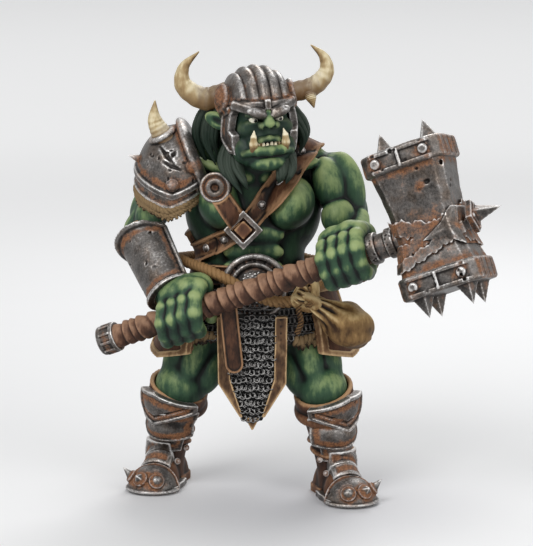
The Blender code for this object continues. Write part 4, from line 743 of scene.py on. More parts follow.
def sculpt_thighs(clay):
    for s, hip, knee in ((-1, RIGHT_HIP, RIGHT_KNEE), (1, LEFT_HIP, LEFT_KNEE)):
        middle = np.add(hip, knee) / 2
        along = np.subtract(knee, hip)
        turn = turn_to(along)
        clay.add(cone(hip, knee, 6.0, 4.3), k=1.2)
        clay.add(ellipsoid(middle + (s * 2.5, -0.8, 0.6), (3.5, 3.9, 7.4), turn), k=0.5)
        clay.add(ellipsoid(middle + (-s * 0.2, -3.4, 1.6), (2.9, 2.7, 7.6), turn), k=0.45)
        clay.add(ellipsoid(middle + (-s * 2.4, -2.0, -2.4), (3.2, 3.2, 5.6), turn), k=0.45)
        clay.add(ellipsoid(middle + (0, 3.4, 0.4), (4.2, 3.0, 7.6), turn), k=0.6)
        clay.add(ellipsoid(np.add(knee, (0, -0.4, 2.6)), (5.0, 4.9, 5.0)), k=0.8)


# Head, in its own frame: x to the figure's left, -y to the front


def rotation(axis, degrees):
    return np.array(Matrix.Rotation(math.radians(degrees), 3, axis))


def head_place():
    return rotation("Z", HEAD_YAW) @ rotation("X", HEAD_NOD) @ rotation("Y", HEAD_ROLL), np.array(HEAD_CENTRE)


def both(shape_of, points, *rest):
    """A shape on the left and its mirror image on the right."""
    made = []
    for s in (1, -1):
        made.append(shape_of(*[(s * p[0], p[1], p[2]) for p in points], *rest))
    return made


def sculpt_face():
    clay = Clay((-10.5, -11.5, -10.5), (10.5, 8.5, 9), 0.15)
    clay.add(ellipsoid((0, 0, 3), (5.8, 6.7, 5.8)), ellipsoid((0, -3.2, -0.4), (5.0, 4.6, 5.6)), k=1.5)
    clay.add(ellipsoid((0, -4.2, -5.0), (5.7, 4.6, 3.6)), k=1.2)
    clay.add(ellipsoid((0, -6.2, -3.0), (3.7, 2.5, 2.5)), k=0.9)
    clay.add(*both(ellipsoid, [(4.5, -4.2, -4.4)], (1.7, 2.5, 2.5)), k=0.7)
    clay.add(*both(cone, [(4.1, -5.9, 3.4), (0.9, -7.8, 3.0)], 0.75, 1.0), k=0.5)
    clay.cut(*both(ellipsoid, [(2.55, -7.6, 1.6)], (1.5, 1.2, 0.85)), k=0.4)
    clay.add(*both(cone, [(3.8, -6.7, 2.45), (1.3, -7.75, 2.05)], 0.38, 0.42), k=0.2)
    clay.add(*both(cone, [(3.6, -6.8, 0.9), (1.5, -7.6, 0.95)], 0.34, 0.34), k=0.3)
    clay.add(*both(ellipsoid, [(3.6, -5.8, -0.3)], (1.9, 1.6, 1.5)), k=1.1)
    clay.add(cone((0, -7.5, 3.3), (0, -8.8, 1.4), 0.85, 1.0), k=0.5)
    clay.add(ellipsoid((0, -9.0, 0.9), (1.2, 1.0, 0.85)), k=0.35)
    clay.add(*both(ellipsoid, [(1.35, -8.5, 0.55)], (0.95, 0.95, 0.75)), k=0.25)
    clay.cut(*both(ellipsoid, [(0.85, -9.35, 0.15)], (0.48, 0.5, 0.36)), k=0.15)
    clay.cut(*both(cone, [(2.2, -8.3, 0.3), (3.3, -7.6, -2.6)], 0.30, 0.25), k=0.4)
    clay.cut(*both(cone, [(0.5, -8.6, 3.9), (0.75, -8.2, 2.5)], 0.16, 0.14), k=0.3)
    lip = [(-3.3, -7.2, -2.9), (-1.6, -8.5, -2.25), (0, -8.85, -1.95), (1.6, -8.5, -2.25), (3.3, -7.2, -2.9)]
    clay.chain(lip, (0.45, 0.55, 0.5, 0.55, 0.45), k=0.5)
    clay.cut(ellipsoid((0, -8.4, -3.2), (3.3, 1.5, 0.55)), k=0.2)
    lip = [(-4.6, -6.7, -4.9), (-2.4, -8.7, -4.3), (0, -9.3, -4.2), (2.4, -8.7, -4.3), (4.6, -6.7, -4.9)]
    clay.chain(lip, (0.7, 0.9, 0.95, 0.9, 0.7), k=0.35)
    clay.cut(cone((-3.0, -8.6, -5.7), (3.0, -8.6, -5.7), 0.35, 0.35), k=0.6)
    clay.add(ellipsoid((0, -7.3, -7.0), (3.2, 2.0, 1.6)), k=0.5)
    clay.cut(cone((0, -9.5, -6.3), (0, -9.3, -7.8), 0.2, 0.2), k=0.6)
    clay.add(*both(ellipsoid, [(2.2, -6.7, -7.0)], (1.3, 1.3, 1.2)), k=0.4)
    for s in (1, -1):
        ear = turn_to((s * 0.8, 0.45, 0.45), (0, 1, 0))
        clay.add(ellipsoid((6.2 if s > 0 else -7.2, 1.4, 0.4), (1.6, 0.7, 3.0), ear), k=0.4)
        clay.cut(ellipsoid((6.5 if s > 0 else -7.5, 0.6, 0.5), (0.8, 0.6, 1.8), ear), k=0.3)

    # Painted shade on the face: a slight darkening all over, and more in the eye sockets, on the cheeks,
    # beside the nose, in and at the corners of the mouth, and under the chin. It is carried in the root
    # value.
    def shade(P):
        total = 0.3 + 1.2 * glow(P, (0, -8.4, -3.2), 1.5) + np.clip((-7.6 - P[2]) / 1.5, 0, 1)
        for s in (1, -1):
            total = total + 1.4 * glow(P, (s * 2.5, -7.0, 1.7), 2.0)
            total = total + 1.2 * glow(P, (s * 5.0, -5.2, 0.2), 2.6)
            total = total + 1.2 * glow(P, (s * 2.4, -7.9, -0.9), 1.4)
            total = total + 1.0 * glow(P, (s * 4.6, -6.6, -3.4), 1.5)
        return total

    cast("face", clay, SKIN, ("head",), head_place(), root=shade)


def sculpt_eyes():
    gaze = unit((0.25, -1, -0.12))
    for side, x in (("right", -2.5), ("left", 2.5)):
        clay = Clay((x - 1.5, -8.6, 0.6), (x + 1.5, -5.4, 3.4), 0.12)
        centre = np.array((x, -6.8, 1.5))
        clay.add(ellipsoid(centre, (0.9, 0.9, 0.8)), k=0.1)

        def pupil(P, centre=centre):
            away = np.stack([P[k] - centre[k] for k in range(3)], 1)
            away /= np.linalg.norm(away, axis=1)[:, None]
            return np.clip((away @ gaze - 0.90) / 0.03, 0, 1)

        cast(side + "_eye", clay, EYE, (), head_place(), pupil=pupil)


def sculpt_teeth():
    clay = Clay((-5, -11, -6.5), (5, -6, 0.8), 0.11)
    for x, tall in ((-2.0, 0.75), (-1.2, 0.9), (-0.4, 0.7), (0.45, 0.95), (1.25, 0.7), (2.0, 0.85)):
        clay.add(ellipsoid((x, -8.55 + 0.09 * x * x, -3.65 + tall * 0.3), (0.36, 0.36, tall)), k=0.05)
    for x in (-1.5, 1.45):
        clay.add(ellipsoid((x, -8.2, -2.75), (0.33, 0.33, 0.6)), k=0.05)
    for s in (1, -1):
        path = [(s * 2.95, -8.2, -4.3), (s * 3.2, -8.75, -2.9), (s * 3.15, -8.8, -1.5), (s * 2.9, -8.4, -0.3)]
        clay.chain(path, (0.85, 0.8, 0.55, 0.12), k=0.2)
    cast(
        "tusks_and_teeth", clay, BONE, ("right_tusk", "left_tusk"), head_place(),
        root=lambda P: np.clip((-2.6 - P[2]) / 1.6, 0, 1) * 0.9
    )


def rib_height(x):
    """The rounded ribs that run over the helmet from front to back, from 0 to 1."""
    return overlap(*(np.clip(1 - ((x - at) / 1.15) ** 2, 0, 1) for at in (-4.6, -2.3, 0.0, 2.3, 4.6)))


def sculpt_helmet():
    clay = Clay((-10.5, -11, -8), (10.5, 9.5, 12.5), 0.16)
    x, y, z = P = clay.everywhere()
    dome = ellipsoid((0, 0, 3), (7.0, 7.9, 7.5))[0](P)
    ribs = rib_height(x)
    hem = np.clip(1.2 + (-y - 1.0) * 0.5, 1.0, 3.7)
    band = np.clip((1.5 - (z - hem)) / 0.2, 0, 1)
    outer = dome - 0.62 * ribs * np.clip((z - hem - 1.2) / 0.8, 0, 1) - 0.45 * band
    inner = ellipsoid((0, 0, 3), (6.1, 6.9, 6.6))[0](P)
    clay.set(overlap(outer, -inner, hem - z))
    cheek = ellipsoid((0, -0.6, -1.0), (6.5, 8.6, 10.5))[0](P)
    outline = polygon(
        [
            (-6.0, 4.8), (-1.6, 4.8), (-1.1, 0.8), (-0.4, -2.8), (-3.4, -5.2), (-5.3, -5.3), (-5.5, -1.4),
            (-4.5, -0.6), (-4.8, 2.4)
        ]
    )
    border = outline(y, z)
    plate = overlap(cheek - 0.7 - 0.4 * np.clip((border + 0.75) / 0.15, 0, 1), border, -cheek - 0.3)
    plate = np.maximum(plate, 2.5 - np.abs(x))
    clay.set(np.minimum(clay.field, plate))
    for s in (1, -1):
        start, end = np.array((s * 6.2, -4.8, 4.5)), np.array((s * 0.75, -8.9, 2.75))
        half = (0.7, 0.95, np.linalg.norm(end - start) / 2)
        clay.add(box((start + end) / 2, half, turn_to(end - start), 0.55), k=0.3)
        bulge = end + (s * 1.5, 0.1, 0.3)
        clay.add(ellipsoid(bulge, (2.1, 1.1, 1.0), rotation("Y", -s * 20)), k=0.35)
        clay.add(cone((s * 4.6, -0.4, 4.8), (s * 5.9, -0.6, 5.1), 2.6, 2.5), k=0.4)
        clay.add(ring((s * 7.0, -0.6, 5.1), (s, -0.1, 0.15), 2.35, 0.55), k=0.3)
        clay.add(ellipsoid((s * 6.3, -3.6, 3.4), (0.6, 0.6, 0.6)), k=0.1)
    clay.add(box((0, -8.3, 4.6), (0.6, 0.6, 1.0), None, 0.25), k=0.3)

    def rust(P):
        low = np.clip(1.2 + (-P[1] - 1.0) * 0.5, 1.0, 3.7)
        near = soft(P[2] - low - 1.9, 0.9) * 0.75
        guard = np.where(P[2] < 3.5, np.exp(-((outline(P[1], P[2]) + 1.1) ** 2) / 0.2) * 0.75, 0)
        valley = np.where(P[2] > low + 2.4, 0.8 * np.clip(0.55 - rib_height(P[0]), 0, 1) / 0.55, 0)
        return overlap(near, guard, valley)

    cast("helmet_shell", clay, STEEL, ("helmet",), head_place(), rust=rust)


def make_horns():
    """Helmet horns, the bound spur and the horn on the pauldron, in the figure's frame."""
    paths = {
        "right_horn": (
            [
                (-5.0, -7.0, 80.4), (-9.8, -7.5, 79.5), (-13.7, -7.9, 82.0), (-13.7, -8.0, 85.6),
                (-10.7, -8.2, 88.7)
            ],
            (2.45, 2.3, 1.85, 1.1, 0.1)
        ),
        "left_horn": (
            [
                (6.4, -8.4, 80.6), (11.2, -8.5, 81.9), (13.8, -8.4, 84.6), (13.4, -8.2, 87.6),
                (10.8, -8.0, 90.0)
            ],
            (2.0, 1.95, 1.6, 1.0, 0.1)
        ),
        "horn_spur": ([(10.6, -9.4, 80.9), (11.0, -9.9, 79.6), (11.5, -10.2, 77.9)], (1.3, 1.0, 0.1)),
    }
    foot = PAULDRON_CENTRE + (-1.4, -4.4, 6.4)
    paths["pauldron_horn"] = (
        [foot, foot + (-1.7, -0.5, 2.8), foot + (-2.8, -0.6, 5.4), foot + (-2.7, -0.5, 9.0)],
        (2.3, 2.0, 1.4, 0.1)
    )
    for name, (path, radii) in paths.items():
        points, faces, share = tube(curve_through(path, 56), radii, 22)
        ripple = 1 + 0.035 * np.sin(share * 62) * np.clip(1.2 - share, 0, 1)
        middle = curve_through(path, 56)[np.minimum((share * 55).round().astype(int), 55)]
        points = middle + (points - middle) * ripple[:, None]
        piece(
            name + "_bone", points, faces, BONE, (name,), caps=True, relief=3,
            root=np.clip(1.25 - share * 1.8, 0, 1)
        )


def make_hair():
    """Thick locks in the figure's frame, each a bundle of strands that run together to a tip."""
    rng = np.random.default_rng(7)
    mane = []
    for angle in np.linspace(-1.75, 1.75, 15):
        s, c = math.sin(angle), math.cos(angle)
        top = np.array((0.7 + 5.6 * s, -5.8 + 5.6 * c, 78.5 + rng.uniform(-0.5, 0.5)))
        out = np.array((s, c, 0))
        drop = 12.5 - 2.5 * abs(s) + 0.8 * math.sin(7 * angle)
        mane.append(
            [
                top, top + out * 2.2 + (0, 0, -0.3 * drop), top + out * 3.4 + (0, 0.6, -0.65 * drop),
                top + out * 2.6 + (0, 0.8, -drop)
            ]
        )
    mane += [[(-6.6, -6.0, 79.5), (-10.0, -5.0, 76.0), (-11.2, -4.2, 71.5), (-9.2, -4.6, 66.0)]]
    mane += [[(-6.4, -7.0, 78.8), (-8.6, -6.4, 75.0), (-9.4, -6.0, 71.0), (-7.6, -7.0, 66.4)]]
    beard = [[(-4.4, -11.0, 70.0), (-5.0, -12.0, 67.2), (-4.2, -13.4, 64.4), (-2.4, -14.4, 61.6)]]
    beard += [[(-3.4, -11.8, 69.0), (-3.2, -13.2, 66.6), (-2.2, -14.6, 64.4), (-1.2, -14.8, 62.4)]]
    beard += [[(-5.0, -10.0, 71.0), (-6.2, -10.8, 68.0), (-5.8, -12.2, 65.6), (-4.4, -13.2, 63.6)]]
    beard += [[(6.6, -12.0, 69.4), (7.2, -13.4, 67.0), (6.6, -14.4, 65.2), (6.0, -14.6, 63.6)]]
    beard += [[(5.4, -13.0, 68.6), (5.4, -14.6, 66.6), (5.0, -15.0, 65.0), (4.6, -14.8, 63.8)]]
    for name, paths, width, count in (("hair", mane, 1.35, 9), ("beard", beard, 0.95, 8)):
        parts = []
        for path in paths:
            middle = curve_through(path, 26)
            share = np.linspace(0, 1, 26)[:, None]
            for k in range(count):
                turn = 2 * np.pi * k / count + rng.uniform(-0.3, 0.3)
                twist = turn + 1.6 * share[:, 0]
                swing = np.stack([np.cos(twist), np.sin(twist), 0.2 * np.sin(turn + share[:, 0])], 1)
                spread = width * (1 - share**2.2) * rng.uniform(0.45, 1.0)
                parts.append(tube(middle + swing * spread, (0.62, 0.66, 0.55, 0.08), 7))
            parts.append(tube(middle, (width, width * 0.9, width * 0.5, 0.1), 10))
        bundle(name + "_locks", parts, HAIR, (name,), caps=True, relief=3)


def sculpt_head():
    sculpt_face()
    sculpt_eyes()
    sculpt_teeth()
    sculpt_helmet()
    make_horns()
    make_hair()


# Hammer, in its own frame: x up the haft, y to the back, z up the head


def drum(centre, axis, radius, half, rounding=0.2):
    """A round block along axis."""
    turn = turn_to(axis)

    def distance(P):
        x, y, z = local(P, centre, turn)
        u = np.sqrt(x * x + y * y) - radius + rounding
        v = np.abs(z) - half + rounding
        outside = np.sqrt(np.maximum(u, 0) ** 2 + np.maximum(v, 0) ** 2)
        return outside + np.minimum(np.maximum(u, v), 0) - rounding

    return distance, np.asarray(centre, float), math.hypot(radius, half)


def hammer_place():
    turn = rotation("Z", HAFT_YAW) @ rotation("Y", -HAFT_RISE) @ rotation("X", HAMMER_ROLL)
    return turn, np.array(HAFT_FOOT)


def pits(clay, seed, low, high, count, size):
    """Small dents struck at random places of a box."""
    rng = np.random.default_rng(seed)
    for _ in range(count):
        centre = rng.uniform(low, high)
        radius = rng.uniform(*size)
        clay.cut(ellipsoid(centre, radius * rng.uniform(0.6, 1.3, 3)), k=0.25)


def glow(P, centre, reach):
    """A soft spot round a point, from 1 down to 0."""
    return np.exp(-sum((P[k] - centre[k]) ** 2 for k in range(3)) / reach**2)


def saw(t):
    """A wave of straight rises and falls between -1 and 1."""
    return 4 * np.abs(t - np.floor(t + 0.5)) - 1


def block_field(P):
    x, y, z = P[0] - HEAD_MIDDLE, P[1], P[2]
    reach = np.where(z > 0, 11.6, 7.4)
    width = 0.84 + 0.16 * (np.abs(z) / reach) ** 1.5
    hx, hy = 7.2 * width, 6.2 * width
    corner = (np.abs(x) + np.abs(y) - hx - hy + 1.5) * DIAGONAL
    dent = 0.05 * np.sin(0.9 * x + 1.3 * z + 0.7 * y) * np.sin(0.6 * z - 1.1 * x + 2.0)
    return overlap(np.abs(x) - hx, np.abs(y) - hy, corner) + dent


def make_block():
    clay = Clay((62.6, -7.4, -8.4), (79.4, 7.4, 12.8), 0.17)
    P = clay.everywhere()
    clay.set(overlap(block_field(P), P[2] - 12.2, -8.0 - P[2]))
    pits(clay, 3, (64.5, -6.8, -7), (77.5, -6.0, 11), 30, (0.3, 0.8))
    pits(clay, 4, (64.5, 6.0, -7), (77.5, 6.8, 11), 26, (0.3, 0.8))
    pits(clay, 5, (77.4, -5, -7), (78.4, 5, 11), 14, (0.3, 0.8))
    clay.cut(cone((73.4, -6.5, -4.2), (75.8, -6.5, -3.2), 0.55, 0.3), k=0.2)

    def rust(P):
        ends = np.clip(0.7 - np.minimum(np.abs(P[2] - 11.4), np.abs(P[2] + 7.2)) / 2.2, 0, 1)
        return ends + 0.75 * soft(P[2] + 0.6, 3.6) + glow(P, (72.8, -6, 7.6), 1.2) + 0.15

    cast("hammer_block_iron", clay, STEEL, ("hammer_block",), hammer_place(), rust=rust)


def make_bands():
    half_long, half_deep, rivet = 8.1, 7.4, 4.8
    for name, middle, way in (("top_band", 14.0, 1), ("bottom_band", -9.8, -1)):
        clay = Clay((62.1, -8.8, middle - 7.2), (80.0, 8.8, middle + 7.2), 0.18)
        x, y, z = P = clay.everywhere()
        u, v, w = np.abs(x - HEAD_MIDDLE), np.abs(y), np.abs(z - middle)
        corner = (u + v - (half_long + half_deep - 2.4)) * DIAGONAL
        outline = overlap(u - half_long, v - half_deep, corner)
        body = overlap(outline, w - 2.15, (outline + w - 1.75) * 0.8)
        body = body + 0.3 * np.clip((1.25 - w) / 0.15, 0, 1) * np.clip((v - 6.6) / 0.2, 0, 1)
        clay.set(body + 0.04 * np.sin(0.9 * x + 1.1 * z) * np.sin(0.7 * y + 0.5 * x + z))
        for side in (-1, 1):
            for at in (-rivet, rivet):
                clay.add(drum((HEAD_MIDDLE + at, side * 7.3, middle), (0, side, 0), 0.95, 0.55, 0.4), k=0.1)
            clay.add(box((HEAD_MIDDLE - 0.2, side * 7.3, middle), (0.3, 0.35, 1.7), None, 0.15), k=0.15)
            for at in (-3.0, 0.0, 3.0):
                end = HEAD_MIDDLE + side * 8.3
                clay.cut(cone((end, at, middle - 1.3), (end, at, middle + 1.3), 0.55, 0.55), k=0.25)
        pits(clay, 11 + way, (63.4, -7.8, middle - 2), (78.6, -7.2, middle + 2), 16, (0.25, 0.5))
        lanes = (0,) if way > 0 else (-1, 1)
        feet = [(HEAD_MIDDLE + a * 4.4, b * 4.1, middle + way * 2.0) for a in (-1, 1) for b in lanes]
        for foot in feet:
            clay.add(spike(foot, (0, 0, way), 1.75 if way > 0 else 1.55, 4.3, True, 0.4), k=0.2)

        def rust(P, middle=middle, way=way, feet=feet):
            spots = [(HEAD_MIDDLE + a, b * half_deep, middle) for a in (-rivet, rivet) for b in (-1, 1)]
            total = 1.1 * sum(glow(P, spot, 1.8) for spot in spots) + 0.1
            total = total - 1.3 * sum(glow(P, (spot[0], spot[1] * 1.06, spot[2]), 0.75) for spot in spots)
            total = total + 0.9 * sum(glow(P, foot, 1.6) for foot in feet)
            return total + 0.6 * np.clip((np.abs(P[0] - HEAD_MIDDLE) - 7.3) / 0.4, 0, 1)

        cast(name + "_iron", clay, STEEL, (name,), hammer_place(), rust=rust)


def make_torn_strap():
    """Two torn iron strips crossed on the block, with a three-pointed plate nailed over them."""
    clay = Clay((62.2, -8.6, -7.2), (80.2, 8.6, 6.2), 0.16)
    x, y, z = P = clay.everywhere()
    under = block_field(P)
    u = np.clip(x - HEAD_MIDDLE, -7, 7) + 0.5 * y
    tear = 0.45 * saw(0.33 * u + 0.1) + 0.25 * saw(0.83 * u + 0.3)
    one = np.abs(z + 0.7 - 0.34 * u) - 1.45 - tear
    two = np.abs(z + 0.9 + 0.30 * u) - 1.55 + 0.8 * tear
    strips = np.maximum(under - 0.55, np.minimum(one, two) * 0.85)
    lower = np.maximum(under - 0.8, np.abs(z + 3.1 - 0.28 * u) * 0.9 - 0.95 - 0.5 * tear)
    field = np.minimum(strips, lower)
    plate = polygon([(-0.8, -2.1), (3.6, 0.2), (6.0, 2.7), (7.0, 2.3), (6.2, -1.4), (6.9, -5.0), (4.0, -2.7)])
    shape = plate(x - HEAD_MIDDLE, z)
    sheet = np.maximum(under - 1.15 + 0.25 * np.clip(shape + 1.2, 0, 1), shape)
    for half in (y + 1.0, -y - 1.0):
        field = np.minimum(field, np.maximum(sheet, half))
    field = np.maximum(field, -under - 0.7)
    clay.set(np.maximum(field, 3.0 - np.sqrt(y * y + z * z) - 20.0 * (x > HEAD_MIDDLE)))
    pits(clay, 21, (64.5, -7.6, -4), (78, -6.6, 3), 14, (0.2, 0.45))

    def rust(P):
        outside = block_field(P)
        return 1.15 - 1.1 * np.clip(outside - 0.25, 0, 1)

    cast("torn_strap_iron", clay, STEEL, ("mid_strap",), hammer_place(), rust=rust)


def make_end_spike():
    foot = HEAD_MIDDLE + 8.2
    clay = Clay((foot - 2.2, -4.2, -4.6), (foot + 8.2, 4.2, 4.4), 0.14)
    slant = rotation("X", 45.0)
    clay.add(box((foot - 0.1, 0, -0.2), (0.65, 2.3, 2.3), slant, 0.2), k=0.1)
    clay.add(box((foot + 0.5, 0, -0.2), (0.35, 1.75, 1.75), slant, 0.1), k=0.1)
    clay.add(spike((foot + 0.7, 0, 0), (1, 0, 0), 1.35, 5.2, True, 0.4), k=0.15)
    for y, z in ((2.2, -0.2), (-2.2, -0.2), (0, 2.0), (0, -2.4)):
        clay.add(ellipsoid((foot + 0.6, y, z), (0.4, 0.45, 0.45)), k=0.1)

    def rust(P):
        return np.clip((foot + 3.4 - P[0]) / 2.6, 0, 1) * 0.8

    cast("end_spike_iron", clay, STEEL, ("end_spike",), hammer_place(), rust=rust)


def make_grip():
    """The leather wound round the haft."""
    rows, sides = 420, 30
    along = np.linspace(3.0, GRIP_END + 0.8, rows)[:, None]
    angle = np.linspace(0, 2 * np.pi, sides, endpoint=False)[None]
    turns = along / 2.15 + angle / (2 * np.pi) + 0.22 * np.sin(along * 0.83)
    turns = turns + 0.16 * np.sin(along * 0.9) * np.sin(angle + along * 0.31)
    ridge = (1 - (turns - np.floor(turns))) ** 0.75 * np.clip((turns - np.floor(turns)) / 0.16, 0, 1)
    radius = 2.05 + 0.62 * ridge + 0.06 * np.sin(along * 2.3 + 3 * angle)
    points = np.stack((along + 0 * angle, radius * np.sin(angle), radius * np.cos(angle)), -1).reshape(-1, 3)
    i, j = np.meshgrid(np.arange(rows - 1), np.arange(sides), indexing="ij")
    m = (j + 1) % sides
    here, above = i * sides, (i + 1) * sides
    faces = np.stack((here + j, above + j, above + m, here + m), -1).reshape(-1, 4)
    turn, origin = hammer_place()
    piece(
        "grip_winding", points @ turn.T + origin, faces, GRIP, ("lower_grip", "upper_grip", "haft"),
        relief=4
    )


def make_pommel():
    clay = Clay((-1.2, -3.8, -3.8), (4.4, 3.8, 3.8), 0.13)
    turned = ((1.4, 2.75, 1.7, 0.5), (3.0, 2.95, 0.4, 0.15), (0.2, 2.9, 0.45, 0.2), (-0.2, 1.9, 0.5, 0.3))
    for at, radius, half, rounding in turned:
        clay.add(drum((at, 0, 0), (1, 0, 0), radius, half, rounding), k=0.15)
    for k in range(10):
        a = 2 * np.pi * k / 10
        rib = (1.6, 2.75 * math.sin(a), 2.75 * math.cos(a))
        clay.add(box(rib, (1.2, 0.25, 0.3), rotation("X", -math.degrees(a)), 0.1), k=0.15)
    cast(
        "pommel_iron", clay, STEEL, ("pommel_cap",), hammer_place(),
        rust=lambda P: 0.75 * soft(P[0] - 1.6, 1.0)
    )


def make_collar():
    """The rings under the hammer's head, with small dents."""
    clay = Clay((57.4, -3.8, -3.8), (65.0, 3.8, 3.8), 0.13)
    for at, radius, half in ((59.1, 3.05, 0.85), (61.0, 2.45, 1.3), (62.8, 2.95, 0.85), (64.0, 2.6, 0.6)):
        clay.add(drum((at, 0, 0), (1, 0, 0), radius, half, 0.25), k=0.1)
    rng = np.random.default_rng(2)
    for _ in range(60):
        a = rng.uniform(0, 2 * np.pi)
        at = rng.choice((59.1, 62.8)) + rng.uniform(-0.6, 0.6)
        dent = (at, 3.05 * math.sin(a), 3.05 * math.cos(a))
        clay.cut(ellipsoid(dent, [rng.uniform(0.12, 0.28)] * 3), k=0.1)
    cast("collar_iron", clay, STEEL, ("hammer_collar",), hammer_place(), rust=0.35)


def make_hammer():
    make_block()
    make_bands()
    make_torn_strap()
    make_end_spike()
    make_grip()
    make_pommel()
    make_collar()


# Hands and the armour of the arms


def make_hand(side, grasp, wrist, back, slant):
    """A fist round the haft, with knuckles, jointed fingers, tendons and a thumb."""
    turn, origin = hammer_place()
    wrist = np.array(wrist, float)

    def around(angle, height, radius):
        a = math.radians(angle)
        return turn @ np.array((grasp + height, radius * math.sin(a), radius * math.cos(a))) + origin

    reach = 4.15
    centre = around(0, 0, 0)
    low, high = np.minimum(centre, wrist) - 8.2, np.maximum(centre, wrist) + 8.2
    clay = Clay(low, high, 0.2)
    pad = 2.7
    clay.add(cone(around(back + 55, 3.0, reach), around(back + 55, -3.2, reach), pad, pad), k=1.0)
    for angle in (back + 22, back + 50, back + 78):
        clay.add(
            cone(around(angle, 1.5, reach), wrist, 2.7, 2.9),
            cone(around(angle, -1.8, reach), wrist, 2.6, 2.9), k=1.2
        )
    for k in range(4):
        height = (1.5 - k) * 2.3
        thick = (1.5, 1.58, 1.52, 1.38)[k]
        turns = (22, -18, -58, -98, -138, -176)
        swell = (1.10, 0.96, 1.08, 0.94, 1.0, 0.9)
        points = [around(back + t, height + slant * t / 90, reach - 0.05) for t in turns]
        clay.chain(points, [thick * w for w in swell], k=0.4)
        clay.add(ellipsoid(around(back + 14, height + slant * 0.15, reach + 0.45), (1.35, 1.35, 1.35)), k=0.9)
        clay.add(ellipsoid(around(back - 58, height - slant * 0.64, reach + 0.45), (1.05, 1.05, 1.05)), k=0.7)
        knuckle = around(back + 22, height, reach + 0.7)
        tendon = knuckle + 0.62 * (wrist - knuckle) + 0.1 * (around(back + 30, 0, 9) - centre)
        clay.add(cone(knuckle, tendon, 0.95, 0.5), k=0.8)
    bends = ((85, 2.4, reach + 0.2), (130, 2.6, reach), (165, 2.4, reach))
    thumb = [around(back + angle, height, away) for angle, height, away in bends]
    clay.chain(thumb, (1.6, 1.5, 1.3), k=0.5)
    cast(side + "_fist", clay, SKIN, (side + "_hand",), relief=9)


def make_bracer(name, elbow, wrist, start, end, radii, facing, spread, material, nodes):
    """A flared plate rolled round a forearm, open on the inner side, with a rolled border."""
    elbow, wrist = np.array(elbow, float), np.array(wrist, float)
    turn = turn_to(wrist - elbow)
    length = np.linalg.norm(wrist - elbow)
    front = turn.T @ unit(facing)
    aim = math.atan2(front[1], front[0])

    def split(P):
        x, y, z = local(P, elbow, turn)
        return np.sqrt(x * x + y * y), half_turn(np.arctan2(y, x) - aim), z / length

    def base(P):
        away, theta, share = split(P)
        flare = 0.9 * np.clip((start + 0.16 - share) / 0.16, 0, 1.3) ** 2 * np.cos(theta * 0.6)
        return away - (radii[0] + (radii[1] - radii[0]) * (share - start) / (end - start)) - flare

    def region(P):
        theta, share = split(P)[1:]
        first = start - share + 0.10 * (1 - np.cos(theta))
        last = share - end - 0.05 * np.cos(theta)
        ends = np.maximum(first, last) * length
        return np.maximum(ends, (np.abs(theta) - spread) * radii[0])

    middle = (elbow + wrist) / 2
    reach = length / 2 + 7.5
    clay = layer(base, middle - reach, middle + reach, 0.2, region, 0.35, 0.5, 0.85, 0.75)
    rng = np.random.default_rng(9)
    for _ in range(9):
        theta, share = aim + rng.uniform(-1.1, 0.9), rng.uniform(start + 0.12, end - 0.1)
        radius = radii[0] + (radii[1] - radii[0]) * (share - start) / (end - start) + 0.45
        point = elbow + turn @ np.array((radius * math.cos(theta), radius * math.sin(theta), share * length))
        clay.cut(cone(point, point + turn @ rng.uniform(-1, 1, 3) * 1.4, 0.28, 0.1), k=0.15)
    cast(name, clay, material, nodes, rust=lambda P: 0.95 * soft(region(P) + 1.7, 0.85))

    def inner(P):
        share = split(P)[2]
        return np.maximum(start - 0.03 - share, share - end - 0.02) * length

    lining = layer(base, middle - reach, middle + reach, 0.24, inner, -0.9, 0.25, 0.6, 2.2)
    cast(name + "_lining", lining, LEATHER)


def shoulder_field(centre, radii, tip):
    """The dome of one shoulder plate and the outline cut from it by the neck side and the pointed hem."""
    dome = ellipsoid(centre, radii)[0]

    def neck(P):
        return (P[0] - centre[0] - 6.4 + 0.42 * (P[2] - centre[2])) / 1.08

    def hem(P):
        aside = P[0] - centre[0] + 0.6
        rise = 0.30 * (P[1] - centre[1] + radii[1]) + np.where(aside > 0, 0.42, -0.27) * aside
        return (rise - tip - (P[2] - centre[2])) / 1.12

    return dome, neck, hem


